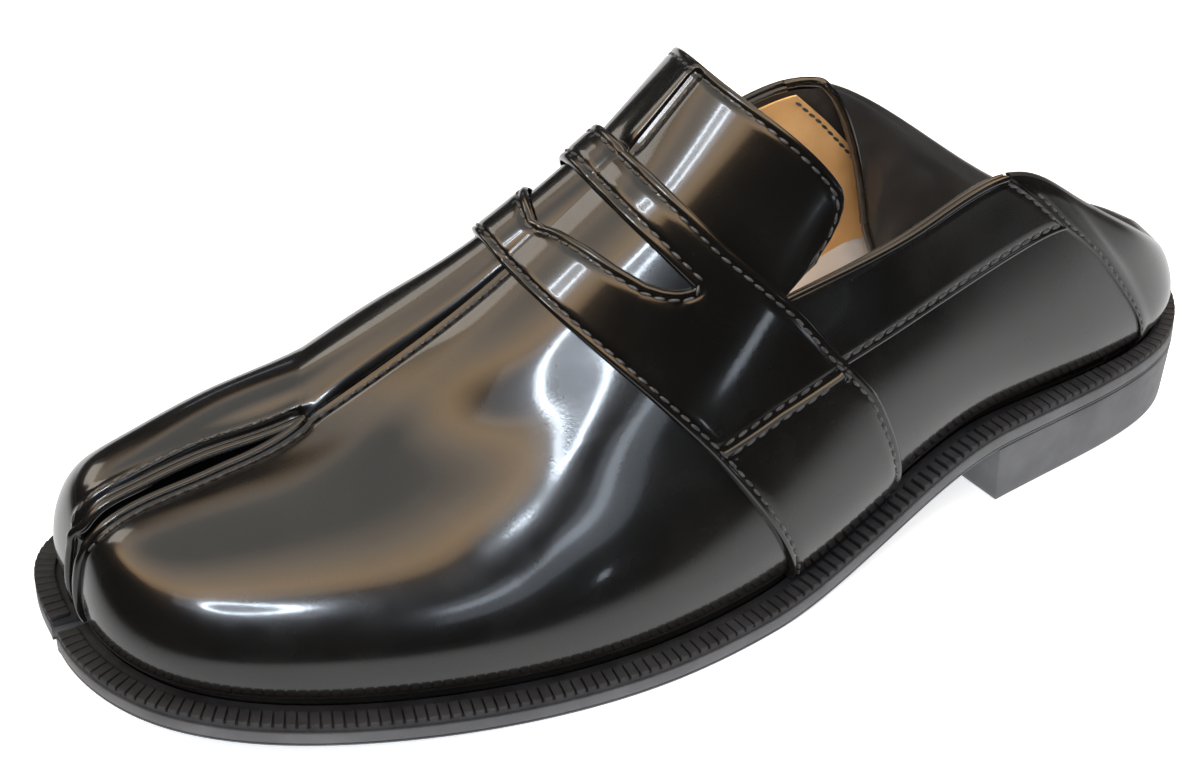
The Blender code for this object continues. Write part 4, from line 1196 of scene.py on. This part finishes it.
# %% Saddle strap
PLACE_MM = 37.0            # mm along the shoe for one place of the vamp, at the strap
STRAP_LIFT, UNDER_LIFT = 2.1, 0.10
STRAP_BACK = ((0.0, 0.0), (34.0, -0.005), (48.0, -0.04), (56.0, -0.065), (72.0, -0.07), (87.0, -0.11),
              (106.0, -0.07), (126.0, -0.03))
STRAP_FRONT = ((0.0, 0.96), (22.0, 0.95), (45.0, 0.93), (66.0, 0.92), (90.0, 0.95), (126.0, 0.98))
SLOT_TOP, SLOT_END_WAY = 0.275, 34.8
SLOT_LIP = {
    "outer": ((0.0, 0.595), (3.5, 0.562), (11.8, 0.512), (20.0, 0.475), (27.3, 0.432), (30.6, 0.39),
              (32.9, 0.345), (34.2, 0.305), (34.8, 0.275)),
    "inner": ((0.0, 0.595), (3.0, 0.62), (9.0, 0.565), (15.0, 0.512), (22.0, 0.47), (27.3, 0.432),
              (30.6, 0.39), (32.9, 0.345), (34.2, 0.305), (34.8, 0.275)),
}
SIDE_SEAM = ((0.0, 75.0), (0.41, 70.3), (0.9, 66.5))
SHIFT_START, SHIFT_RUN = 36.0, 26.0
SIDE_SEAM_WAYS = (-4.0, -3.0, -2.3, -1.7, -1.3, -0.8, -0.4, 0.0, 0.4, 0.8, 1.3, 1.7, 2.3, 3.0, 4.0)
SIDE_SEAM_RELIEF = (0.0, -0.02, -0.14, -0.28, -0.24, -0.05, 0.0, -0.34,
                    0.0, -0.05, -0.24, -0.28, -0.14, -0.02, 0.0)
STRAP_LOW = 2.5            # the strap stops this far above the welt


def table_at(table, value):
    keys, values = zip(*table)
    return np.interp(value, keys, values)


def slot_outline(half):
    """Edge of the slot as places in mm and ways from the ridge."""
    ways = np.linspace(0.0, SLOT_END_WAY, 160)
    top = np.column_stack([np.full_like(ways, SLOT_TOP) * PLACE_MM, ways])
    lip = np.column_stack([table_at(SLOT_LIP[half.name], ways) * PLACE_MM, ways])
    return np.vstack([top, lip[::-1]])


def strap_rows(half):
    """Ways from the ridge at the slot's top edge, close together at the slot's end and the side seam."""
    seam = table_at(SIDE_SEAM, SLOT_TOP)
    low = skin_length(half.vamp, SLOT_TOP) - STRAP_LOW
    return np.concatenate([
        np.linspace(0.0, 3.0, 4)[:-1], np.linspace(3.0, 27.0, 17)[:-1], np.linspace(27.0, SLOT_END_WAY, 13),
        SLOT_END_WAY + np.array(EDGE_WAYS[1:]), np.linspace(40.0, seam - 6.0, 14),
        seam + np.array(SIDE_SEAM_WAYS), np.linspace(seam + 6.0, low, 20)])


def strap_way(place, way):
    """The row's own way shifts along the shoe, so that one row follows the side seam."""
    shift = table_at(SIDE_SEAM, place) - table_at(SIDE_SEAM, SLOT_TOP)
    return way + shift * smooth((way - SHIFT_START) / SHIFT_RUN)


def strap_lift(half, place, way, row):
    """Height of the strap over the vamp, from the nearest cut edge and the side seam."""
    mm = place * PLACE_MM
    to_back = mm - table_at(STRAP_BACK, way) * PLACE_MM
    to_front = table_at(STRAP_FRONT, way) * PLACE_MM - mm
    outline = slot_outline(half)
    to_slot = np.hypot(mm[..., None] - outline[:, 0], row[..., None] - outline[:, 1]).min(axis=-1)
    nearest = np.maximum(np.minimum(np.minimum(to_back, to_front), to_slot), 0.0)
    seam = np.interp(row - table_at(SIDE_SEAM, SLOT_TOP), SIDE_SEAM_WAYS, SIDE_SEAM_RELIEF)
    inside = np.interp(np.minimum(to_back, to_front), (1.0, 2.5), (0.0, 1.0))
    return edge_relief(nearest, STRAP_LIFT) + seam * inside


def across(start, end, count):
    """Columns between two edges: close together at both, by ways in mm."""
    width = (end - start) * PLACE_MM
    edge = np.array(EDGE_WAYS) * min(1.0, width / (2.4 * EDGE_WAYS[-1]))
    middle = np.linspace(edge[-1], width - edge[-1], count)[1:-1]
    return start + np.concatenate([edge, middle, width - edge[::-1]]) / PLACE_MM


def strap_strips(half):
    """Upper and under faces of the strips behind and in front of the slot."""
    rows = strap_rows(half)[::-1]
    strips = []
    for strip in ("back", "front"):
        places = []
        for row in rows:
            back, front = table_at(STRAP_BACK, row), table_at(STRAP_FRONT, row)
            lip = table_at(SLOT_LIP[half.name], row) if row < SLOT_END_WAY else SLOT_TOP
            places.append(across(back, SLOT_TOP, 5) if strip == "back" else across(lip, front, 11))
        places = np.array(places).T
        row = np.broadcast_to(rows, places.shape)
        way = strap_way(places, row)
        lift = strap_lift(half, places, way, row)
        strips.append([from_head(half.vamp, places, way, height) for height in (lift, UNDER_LIFT)])
    return strips


def make_strap():
    sheets = []
    for half in HALVES:
        for top, under in strap_strips(half):
            sheets.append(sheet("strap", top, half.side))
            sheets.append(sheet("strap_under", under, -half.side))
    return join("saddle_strap_leather", sheets)


STRAP = make_strap()
done(STRAP, (POLISHED,), "polished_leather", "saddle_strap")

# %% [markdown]
# ## Bands and rolled edges
# A band is stitched along the top line of each quarter, square at its rear end. Above it the edges of
# leather and lining show as two thin rolls. Rolls are curves with a round bevel, turned into meshes:
# a curve is the quickest way to a tube that follows a line.

# %% Bands
BAND_LOW, BAND_LIFT, BAND_UNDER, BAND_FRONT = 0.68, 1.15, 0.06, 6.12
BAND_TOP_WAYS, BAND_TOP_SHARE = (0.0, 0.5, 1.2), (0.35, 0.85, 1.0)
BAND_REAR = {"outer": ((0.68, 3.90), (0.72, 3.90), (0.87, 3.955), (1.0, 4.045)),
             "inner": ((0.68, 4.20), (0.72, 4.20), (0.87, 4.27), (1.0, 4.37))}
WALL_PLACE_MM = 33.0       # mm along the shoe for one place of the quarter


def band_grid(half):
    """Upper and under face of a band: its rear end is square, and its front runs under the strap."""
    length = float(skin_length(half.wall, 5.0))
    low = BAND_LOW + np.array(EDGE_WAYS) / length
    high = 1.0 - np.array(EDGE_WAYS[::-1])[-6:] / length
    shares = np.concatenate([low, np.linspace(low[-1], high[0], 12)[1:-1], high])
    columns, under = [], []
    edge = np.array(EDGE_WAYS) / WALL_PLACE_MM
    rear = table_at(BAND_REAR[half.name], shares)
    steps = [(rear + e, np.full_like(shares, e * WALL_PLACE_MM)) for e in edge]
    for t in np.linspace(0.0, 1.0, 34)[1:]:
        place = rear + edge[-1] + (BAND_FRONT - rear - edge[-1]) * t
        steps.append((place, (place - rear) * WALL_PLACE_MM))
    for place, to_rear in steps:
        nearest = np.minimum((shares - BAND_LOW) * length, to_rear)
        top = np.interp((1.0 - shares) * length, BAND_TOP_WAYS, BAND_TOP_SHARE)
        columns.append(on_side(half, place, shares, edge_relief(nearest, BAND_LIFT) * top))
        under.append(on_side(half, place, shares, BAND_UNDER))
    return np.array(columns), np.array(under)


def make_band(half, name, node):
    top, under = band_grid(half)
    piece = join(name, [sheet("band", top, half.side), sheet("band_under", under, -half.side)])
    done(piece, (POLISHED,), "polished_leather", node)


make_band(OUTER, "outer_band_leather", "quarter_band_lateral")
make_band(INNER, "inner_band_leather", "quarter_band_medial")

# %% Rolled edges
RUB_PASSES = 8
BEAD_RADIUS, ROLL_RADIUS, LINING_ROLL_RADIUS, FRONT_RADIUS, EDGE_RADIUS = 1.2, 0.85, 0.8, 1.3, 1.2
ROLL_LIFT, LINING_ROLL_LIFT, CORNER_LIFT = 0.35, -1.35, -0.3


def roll(name, line, radius):
    """A round roll of leather along a line."""
    curve = bpy.data.curves.new(name, "CURVE")
    curve.dimensions = "3D"
    curve.bevel_depth = radius * MM
    curve.bevel_resolution = 3
    curve.use_fill_caps = True
    path = curve.splines.new("POLY")
    points = to_scene(line)
    path.points.add(len(points) - 1)
    path.points.foreach_set("co", np.column_stack([points, np.ones(len(points))]).ravel())
    piece = bpy.data.objects.new(name, curve)
    bpy.context.scene.collection.objects.link(piece)
    select_only(piece)
    bpy.ops.object.convert(target="MESH")
    piece = bpy.context.object
    piece.name = piece.data.name = name
    return piece


def rounded(line, count):
    """A line with its corners rubbed off."""
    line = even_rows(line, count)
    for _ in range(RUB_PASSES):
        line[1:-1] = (line[:-2] + 2.0 * line[1:-1] + line[2:]) / 4.0
    return line


def make_rolls():
    rolls = []
    for half, flap, vamp in zip(HALVES, FLAPS, VAMP_GRIDS):
        rims = vamp[LOBE_START:, -1] + [0.0, -half.side * 0.35, 0.15]
        front = vamp[-1, -2:1:-1] + [0.3, -half.side * 0.35, 0.0]
        rolls.append(roll("cleft_bead", rounded(np.vstack([rims, front]), 150), BEAD_RADIUS))
        rear = BAND_REAR[half.name][-1][1]
        places = np.linspace(rear + 0.01, 6.08, 64)
        rolls.append(roll("outer_roll", on_side(half, places, 1.0, ROLL_LIFT), ROLL_RADIUS))
        lining = on_side(half, places, 1.0, LINING_ROLL_LIFT) - [0.0, 0.0, 0.3]
        rolls.append(roll("inner_roll", lining, LINING_ROLL_RADIUS))
        corner = on_skin(half.wall, np.linspace(rear + 0.02, CORNER_RIB, 12), 1.0, CORNER_LIFT)
        front = np.vstack([corner[:-1], flap[-1, 3:]]) if half.side < 0 else flap[-1, ARC_ROWS + 7:]
        rolls.append(roll("flap_front", rounded(front, 80), FRONT_RADIUS))
        rolls.append(roll("flap_edge", flap[:, -1], EDGE_RADIUS))
    return join("rolled_edges", rolls, weld=0.001)


ROLLS = make_rolls()
done(ROLLS, (POLISHED,), "polished_leather")

# %% [markdown]
# ## Linings
# The quarters are lined in tan leather, which ends in a stitched edge before the heel. It is a sheet on
# the inner side of the wall and of the vamp under the strap, a little clear of the upper's own leather.
# The pale footbed curls up along the walls in a thin sheet, whose rounded foot runs under the footbed.

# %% Linings
LINING_LIFT, LINING_THICK = -2.2, 0.5
LINING_FOOT, LINING_TOP, LINING_RIDGE, LINING_FRONT = 0.03, 0.965, 0.985, 5.99
LINING_REAR = ((0.0, 4.1), (0.6, 4.17), (0.8, 4.24), (0.92, 4.31), (1.0, 4.36))
SIDE_TOP = ((4.0, 0.12), (4.3, 0.19), (4.62, 0.205), (5.0, 0.18), (5.5, 0.13), (5.95, 0.02))
SIDE_REAR, SIDE_FRONT, SIDE_FOOT, SIDE_LOW, SIDE_THICK = 3.95, 5.98, 0.01, 0.02, 0.4
SIDE_COVE = ((6.0, 4.2), (1.6, 3.0))       # how far in and how far down the foot of the sheet runs
SIDE_ROWS = np.concatenate([np.linspace(0.0, 0.85, 10), [0.91, 0.95, 0.98, 1.0]])
SIDE_LIFTS = np.concatenate([np.full(10, -3.3), [-3.25, -3.1, -2.9, -2.6]])


def make_lining():
    sheets = []
    for half in HALVES:
        shares = np.linspace(LINING_FOOT, LINING_TOP, 46)
        rear = table_at(LINING_REAR, shares)
        places = np.array([rear + (LINING_FRONT - rear) * t for t in np.linspace(0.0, 1.0, 40)])
        sheets.append(sheet("quarter_lining", on_skin(half.wall, places, shares, LINING_LIFT), -half.side))
        places = np.linspace(0.0, 1.0, 18)[:, None]
        shares = np.linspace(LINING_FOOT, LINING_RIDGE, 60)
        sheets.append(sheet("vamp_lining", on_skin(half.vamp, places, shares, LINING_LIFT), -half.side))
    return join("tan_quarter_lining", sheets)


def make_footbed_sides():
    """A pale sheet along the walls, with a thin top edge and a rounded foot."""
    sheets = []
    for half in HALVES:
        places = np.linspace(SIDE_REAR, SIDE_FRONT, 60)
        spots = [(half.wall, place, top) for place, top in zip(places, table_at(SIDE_TOP, places))]
        spots += [(half.vamp, place, SIDE_LOW) for place in np.linspace(0.05, 1.0, 18)]
        columns = []
        for skin, place, top in spots:
            column = on_skin(skin, place, SIDE_FOOT + (top - SIDE_FOOT) * SIDE_ROWS, SIDE_LIFTS)
            cove = [column[0] - (0.0, inward * half.side, down) for inward, down in SIDE_COVE]
            columns.append(np.vstack([cove, column]))
        sheets.append(sheet("footbed_side", np.array(columns), -half.side))
    return join("footbed_sides", sheets)


LINING = make_lining()
thicken(LINING, LINING_THICK, 1.0)
done(LINING, (TAN_LINING,), "polished_leather")
SIDES = make_footbed_sides()
thicken(SIDES, SIDE_THICK, -1.0)
done(SIDES, (FOOTBED,), "pale_footbed")

# %% [markdown]
# ## The sole
# Outsole, heel and welt are moulded rubber. Each has a side that is drawn round the rim as a strip with
# rounded edges, and a core that is made as by hand: a circle with its points moved to the outline,
# filled, extruded down, cut into strips by bisecting, and bent to the tread.

# %% Outsole and heel
RIM_STEP, STATION_STEP, SOLE_WELD = 1.8, 8.0, 0.005
OUTSOLE_PROFILE = (        # inset and height over the tread, from the top down
    (1.2, 3.8), (0.45, 3.8), (0.12, 3.68), (0.0, 3.4), (0.0, 1.05), (0.06, 0.95), (0.34, 0.85),
    (0.34, 0.68), (0.05, 0.58), (0.05, 0.35), (0.2, 0.1), (0.55, 0.0), (1.2, 0.0),
)
OUTSOLE_CORE, HEEL_CORE = 1.0, 1.4        # how far a core stays inside its side
HEEL_TAPER, HEEL_MIDDLE, HEEL_HALF_WIDTH, HEEL_RIM = 1.3, np.array((42.0, -3.4)), 33.0, 118.0
HEEL_GAP = 0.22            # between the heel and the outsole
HEEL_TOP_ROWS = ((1.5, 0.0), (0.15, 0.0), (0.0, 0.25))                   # inset and drop
HEEL_FOOT_ROWS = ((0.08, 0.30), (0.25, 0.08), (0.6, 0.0), (2.0, 0.0))    # inset past the taper and height
HEEL_FOOT = 0.85           # the straight side ends about this far above the floor
BREAST_X, BREAST_SLANT = 84.0, 0.16


def rim_line(start, end):
    return rim(np.linspace(start, end, max(2, int(round((end - start) / RIM_STEP)) + 1)))


def slot_line():
    """The toe slot in plan, from its outer edge round its closed end."""
    angle = np.linspace(math.pi / 2, 3 * math.pi / 2, 9)
    return np.column_stack([SLOT_END + SLOT_HALF * np.cos(angle), CLEFT_Y + SLOT_HALF * np.sin(angle)])


def core(name, outline, low, high):
    """A filled outline, extruded, bisected into strips and bent to two heights."""
    deselect()
    bpy.ops.mesh.primitive_circle_add(vertices=len(outline), radius=1.0, fill_type="NGON")
    piece = bpy.context.object
    piece.name = piece.data.name = name
    piece.data.vertices.foreach_set("co", np.column_stack([outline, np.zeros(len(outline))]).ravel())
    edit(piece)
    bpy.ops.mesh.extrude_region_move(TRANSFORM_OT_translate={"value": (0.0, 0.0, 1.0)})
    for x in np.arange(outline[:, 0].min(), outline[:, 0].max(), STATION_STEP)[1:]:
        bpy.ops.mesh.select_all(action="SELECT")
        bpy.ops.mesh.bisect(plane_co=(x, 0.0, 0.0), plane_no=(1.0, 0.0, 0.0), threshold=0.01)
    leave_edit()
    points = np.array([vert.co for vert in piece.data.vertices])
    heights = np.where(points[:, 2] > 0.5, high(points[:, 0]), low(points[:, 0]))
    piece.data.vertices.foreach_set("co", to_scene(np.column_stack([points[:, :2], heights])).ravel())
    edit(piece)
    bpy.ops.mesh.normals_make_consistent(inside=False)
    leave_edit()
    return piece


def inset_outline(outline, inset):
    """A closed outline moved inwards by a distance."""
    ahead = unit(np.roll(outline, -1, axis=0) - np.roll(outline, 1, axis=0))
    return outline - np.column_stack([-ahead[:, 1], ahead[:, 0]]) * inset


def make_outsole():
    outline = np.vstack([rim_line(RIM_WAY[0], RIM_WAY[-1]), slot_line()])
    rows = []
    for inset, rise in OUTSOLE_PROFILE:
        row = inset_outline(outline, inset)
        rows.append(np.column_stack([row, tread(row[:, 0]) + rise]))
    columns = np.stack(rows[::-1], axis=1)
    side = sheet("outsole_side", np.concatenate([columns, columns[:1]]), 1.0)
    block = core("outsole_core", inset_outline(outline, OUTSOLE_CORE), tread, bed)
    return join("outsole_rubber", [side, block], weld=SOLE_WELD)


def heel_top(x):
    return tread(x) - HEEL_GAP


def make_heel():
    line = rim_line(-HEEL_RIM, HEEL_RIM)
    kept = line[line[:, 0] < BREAST_X - BREAST_SLANT * line[:, 1]]
    ends = [np.array((BREAST_X - BREAST_SLANT * y, y)) for y in (kept[-1, 1], kept[0, 1])]
    outline = np.vstack([kept, np.linspace(*ends, 24)])
    columns = []
    for point in np.vstack([outline, outline[:1]]):
        inward = unit(HEEL_MIDDLE - point)
        top = float(heel_top(point[0]))
        rows = [(inset, top - drop) for inset, drop in HEEL_TOP_ROWS]
        rows += [(HEEL_TAPER * share, rows[2][1] - (top - HEEL_FOOT) * share)
                 for share in np.linspace(0.05, 0.96, 9)]
        rows += [(HEEL_TAPER + inset, height) for inset, height in HEEL_FOOT_ROWS]
        columns.append([(*(point + inward * inset), height) for inset, height in rows])
    side = sheet("heel_side", np.array(columns)[:, ::-1], 1.0)
    share = 1.0 - (HEEL_TAPER + HEEL_CORE) / HEEL_HALF_WIDTH
    block = core("heel_core", HEEL_MIDDLE + (outline - HEEL_MIDDLE) * share, np.zeros_like, heel_top)
    return join("heel_rubber", [side, block], weld=SOLE_WELD)


OUTSOLE = make_outsole()
done(OUTSOLE, (RUBBER,), "black_rubber", "outsole")
HEEL = make_heel()
done(HEEL, (RUBBER,), "black_rubber", "heel")

# %% [markdown]
# The welt is a band on the rim with close moulded ribs. One rib is made from a cube with bevelled edges
# and copied along the rim, because the real ones are all alike. They lie on a plain strip, and the
# shadow between them and the upper is a real gap.

# %% Welt
RIB_PITCH, RIB_WIDTH, RIB_LENGTH, RIB_HEIGHT, RIB_BEVEL = 2.6, 2.15, 4.8, 1.15, 0.11
RIB_FLOOR = WELT_THICK - RIB_HEIGHT
RIB_SINK = 0.1             # ribs reach this far into the strip, so that no gap shows under them
RIB_FIRST, RIB_LAST, RIB_CLEAR, RIB_INSET = 1.7, 1.5, 1.2, 0.05
STRIP_COLUMNS, STRIP_CLEAR, STRIP_LIFT, STRIP_DROP = 420, 0.3, 0.12, 0.12


def take_shape(piece):
    """Points and faces of a small shape, which is then put away."""
    points = np.array([vert.co for vert in piece.data.vertices])
    faces = [tuple(face.vertices) for face in piece.data.polygons]
    bpy.data.objects.remove(piece)
    return points, faces


def make_rib():
    """One bevelled rib of unit size: its length along x, its width along y."""
    deselect()
    bpy.ops.mesh.primitive_cube_add(size=1.0)
    rib = bpy.context.object
    edit(rib)
    bpy.ops.mesh.bevel(offset=RIB_BEVEL, segments=2, affect="EDGES")
    leave_edit()
    return take_shape(rib)


def copies(name, points, faces, frames):
    """One mesh of many copies of a small shape, each with its own frame: origin and three sides."""
    verts, polygons = [], []
    for origin, x, y, z in frames:
        start = len(verts) * len(points)
        verts.append(origin + points[:, :1] * x + points[:, 1:2] * y + points[:, 2:] * z)
        polygons += [tuple(start + index for index in face) for face in faces]
    mesh = bpy.data.meshes.new(name)
    mesh.from_pydata(to_scene(np.vstack(verts)).tolist(), [], polygons)
    piece = bpy.data.objects.new(name, mesh)
    bpy.context.scene.collection.objects.link(piece)
    return piece


def rib_frames():
    """Frames of the ribs along the rim."""
    frames = []
    for way in np.arange(RIM_WAY[0] + RIB_FIRST, RIM_WAY[-1] - RIB_LAST, RIB_PITCH):
        length = min(RIB_LENGTH, float(welt_width(way)) - RIB_CLEAR)
        slope = rim_direction(way)
        inward = np.array([slope[1], -slope[0], 0.0])
        along = np.array([slope[0], slope[1], 0.0])
        height = bed(float(rim(way)[0])) + RIB_FLOOR + RIB_HEIGHT / 2.0 - RIB_SINK
        frames.append((np.array([*rim(way, RIB_INSET + length / 2.0), height]), inward * length,
                       along * RIB_WIDTH, np.array([0.0, 0.0, RIB_HEIGHT + 2.0 * RIB_SINK])))
    return frames


def make_welt():
    ribs = copies("ribs", *make_rib(), rib_frames())
    columns = []
    for way in np.linspace(RIM_WAY[0], RIM_WAY[-1], STRIP_COLUMNS):
        width = float(welt_width(way)) - STRIP_CLEAR
        low = bed(float(rim(way)[0])) + STRIP_LIFT
        high = low + RIB_FLOOR - STRIP_DROP
        rows = ((width, low), (0.9, low), (0.5, low + 0.05), (0.4, low + 0.3), (0.4, low + RIB_FLOOR - 0.3),
                (0.7, high), (width, high), (width, low))
        columns.append([(*rim(way, inset), z) for inset, z in rows])
    band = sheet("welt_strip", np.array(columns), 1.0)
    edit(band)
    bpy.ops.mesh.remove_doubles(threshold=SOLE_WELD * MM)
    bpy.ops.mesh.fill_holes(sides=0)
    bpy.ops.mesh.normals_make_consistent(inside=False)
    leave_edit()
    return join("ribbed_welt", [band, ribs], weld=0.0001)


WELT = make_welt()
done(WELT, (RIBBED,), "black_rubber", "welt")

# %% [markdown]
# ## The footbed
# Only a small bright corner of the footbed shows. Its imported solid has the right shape, so it stays and
# takes the pale leather finish.

# %% Footbed
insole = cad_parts["insole"]
insole.data.materials.clear()
insole.data.materials.append(FOOTBED)
print("footbed keeps its solid, with", len(insole.data.polygons), "faces")

# %% [markdown]
# ## Stitches
# Every seam is sewn with waxed black thread. One stitch is a small sphere drawn out into a dash; it is
# copied along each line in its groove, a little slanted, as thread lies when it dives into the leather.

# %% One stitch
STITCH_PITCH, STITCH_LONG, STITCH_WIDE, STITCH_HIGH = 3.2, 2.6, 0.82, 0.70
STITCH_SLANT, STITCH_LOOK = 0.10, 0.8


def make_stitch():
    deselect()
    bpy.ops.mesh.primitive_uv_sphere_add(segments=8, ring_count=6, radius=0.5)
    dash = bpy.context.object
    edit(dash)
    bpy.ops.transform.rotate(value=math.pi / 2, orient_axis="Y", center_override=(0.0, 0.0, 0.0))
    leave_edit()
    return take_shape(dash)


def stitch_frames(line, normals):
    """Frames of the stitches along a line that lies on the leather."""
    length = way_along(line)
    count = max(1, int(length[-1] / STITCH_PITCH))
    frames = []
    for way in (np.arange(count) + 0.5) * length[-1] / count:
        rear, spot, front = (read_rows(way + k * STITCH_LOOK, length, line) for k in (-1, 0, 1))
        ahead = unit(front - rear)
        normal = read_rows(way, length, normals)
        normal = unit(normal - ahead * (normal @ ahead))
        side = np.cross(normal, ahead)
        turned = ahead + side * STITCH_SLANT
        frames.append((spot, turned * STITCH_LONG, side * STITCH_WIDE, normal * STITCH_HIGH))
    return frames


STITCH = make_stitch()
print("one stitch has", len(STITCH[1]), "faces")

# %% [markdown]
# The sewn lines are drawn on the skins, each at its own way from an edge or a seam and a little below the
# top of the leather.

# %% Sewn lines
STRAP_SINK, BAND_SINK, LAP_SINK, LINING_SINK = 0.22, 0.2, 0.16, 0.4     # thread lies in its groove
SLOT_SEWN_FROM, SIDE_SEAM_OFFSETS = 0.4, (-1.5, 1.5)
CENTRE_SEWN_WAY, CENTRE_SEWN_LIFT = 1.5, -0.42
CLEFT_SEWN = {"outer": (2.1, -0.30), "inner": (3.4, 0.60)}               # way from the rim, and height
LAP_SEWN_WAY, LAP_SEWN_PLACES = 2.1, 3.75
TONGUE_SEWN_REACH, TONGUE_SEWN_TO, TONGUE_SEAM_ROW = 4.0, 0.88, -6


def sewn(point_at, lift):
    """A line on a skin and its outward directions, from a function of the height."""
    line, above = point_at(lift), point_at(lift + 1.0)
    return line, above - line


def slot_sewing(half):
    """The two sewn lines round the slot, as places in mm and ways from the ridge."""
    lip_ways = np.linspace(SLOT_SEWN_FROM, SLOT_END_WAY, 120)
    top_ways = np.linspace(SLOT_SEWN_FROM, SLOT_END_WAY, 80)
    lip = np.column_stack([table_at(SLOT_LIP[half.name], lip_ways), lip_ways])
    ring = np.vstack([np.column_stack([np.full(80, SLOT_TOP), top_ways]), lip[::-1]])
    ring[:, 0] *= PLACE_MM
    ahead = unit(np.gradient(ring, axis=0))
    ring = ring + np.column_stack([-ahead[:, 1], ahead[:, 0]]) * STITCH_WAY
    ring = ring[ring[:, 1] > SLOT_SEWN_FROM]
    turn = int(np.argmax(ring[:, 1]))
    return ring[:turn + 1], ring[turn:]


def vamp_lines(half):
    """Sewn lines of the strap, the centre seam and the cleft."""
    lines = []

    def sew(places, ways, lift):
        lines.append(sewn(lambda height: from_head(half.vamp, places, ways, height), lift))

    step = STITCH_WAY / PLACE_MM
    rise = STRAP_LIFT - STRAP_SINK
    ways = np.linspace(0.5, float(skin_length(half.vamp, 0.5)) - 6.0, 160)
    shifted = strap_way(0.0, ways)
    sew(table_at(STRAP_BACK, shifted) + step, shifted, rise)
    sew(table_at(STRAP_FRONT, ways) - step, ways, rise)
    for line in slot_sewing(half):
        sew(line[:, 0] / PLACE_MM, line[:, 1], rise)
    places = np.linspace(0.10, 0.82, 40)
    for offset in SIDE_SEAM_OFFSETS:
        sew(places, table_at(SIDE_SEAM, places) + offset, rise)
    if half.side > 0:
        sew(np.linspace(1.02, 2.92, 120), CENTRE_SEWN_WAY, CENTRE_SEWN_LIFT)
    sew(np.linspace(3.10, 6.9, 160), *CLEFT_SEWN[half.name])
    return lines


def wall_lines(half):
    """Sewn lines of the heel panel's lap, the band and the lining."""
    lines = []

    def sew(places, shares, lift, outward=1.0):
        lines.append(sewn(lambda height: on_skin(half.wall, places, shares, outward * height), lift))

    step = STITCH_WAY / WALL_PLACE_MM
    band_rear = BAND_REAR[half.name]
    band_low = BAND_LOW + STITCH_WAY / float(skin_length(half.wall, 5.0))
    shares = np.linspace(0.05, 0.90, 80)
    sew(rear_seam(shares) - LAP_SEWN_WAY * LAP_SEWN_PLACES / LAP_SPAN, shares, LAP_THICK - LAP_SINK)
    sew(np.linspace(band_rear[0][1] + step, 5.95, 120), band_low, BAND_LIFT - BAND_SINK)
    shares = np.linspace(0.35, 0.94, 40)
    sew(table_at(LINING_REAR, shares) + step, shares, 1.0 - LINING_LIFT - LINING_SINK, outward=-1.0)
    shares = np.linspace(band_low + 0.03, 0.985, 30)
    sew(table_at(band_rear, shares) + step, shares, BAND_LIFT - BAND_SINK)
    return lines


def tongue_lines():
    """Lines along the tongue's edge and its part of the centre seam."""
    lines = []
    for half, (raised, bare, normal) in zip(HALVES, TONGUES):
        reach = np.linalg.norm(bare[-1] - bare[0], axis=1)
        rows = np.flatnonzero(reach > TONGUE_SEWN_REACH)
        spots = 1.0 - STITCH_WAY / reach[rows]
        lines.append([
            np.array([read_rows(spot, TONGUE_COLUMNS, grid[:, row]) for row, spot in zip(rows, spots)])
            for grid in (raised, normal)])
        if half.side > 0:
            inside = TONGUE_COLUMNS < TONGUE_SEWN_TO
            lines.append((raised[inside, TONGUE_SEAM_ROW], normal[inside, TONGUE_SEAM_ROW]))
    return lines


def make_stitches():
    frames = []
    lines = [line for half in HALVES for line in vamp_lines(half) + wall_lines(half)]
    for line, normals in lines + tongue_lines():
        frames += stitch_frames(line, normals)
    print("stitches:", len(frames))
    return copies("thread_stitches", *STITCH, frames)


STITCHES = make_stitches()
done(STITCHES, (THREAD,), "polished_leather")

# %% [markdown]
# ## Aiming the lamps
# A photographer flags a lamp so that it shows in one piece and not in the next. Light linking does the
# same: the instep lamps shine on the tongue and strap alone, the side lamps on all but those two, and
# the free lamps on everything.

# %% Light linking
def aim(lamps, pieces, state):
    """Let lamps shine only on some pieces, or on all but those."""
    group = bpy.data.collections.new(lamps[0].name + "_pieces")
    for piece in pieces:
        group.objects.link(piece)
    for member in group.collection_objects:
        member.light_linking.link_state = state
    for lamp in lamps:
        lamp.light_linking.receiver_collection = group


aim(LAMP_GROUPS["instep"], (TONGUE, STRAP), "INCLUDE")
aim(LAMP_GROUPS["side"], (TONGUE, STRAP), "EXCLUDE")
print("the instep lamps shine on", TONGUE.name, "and", STRAP.name)
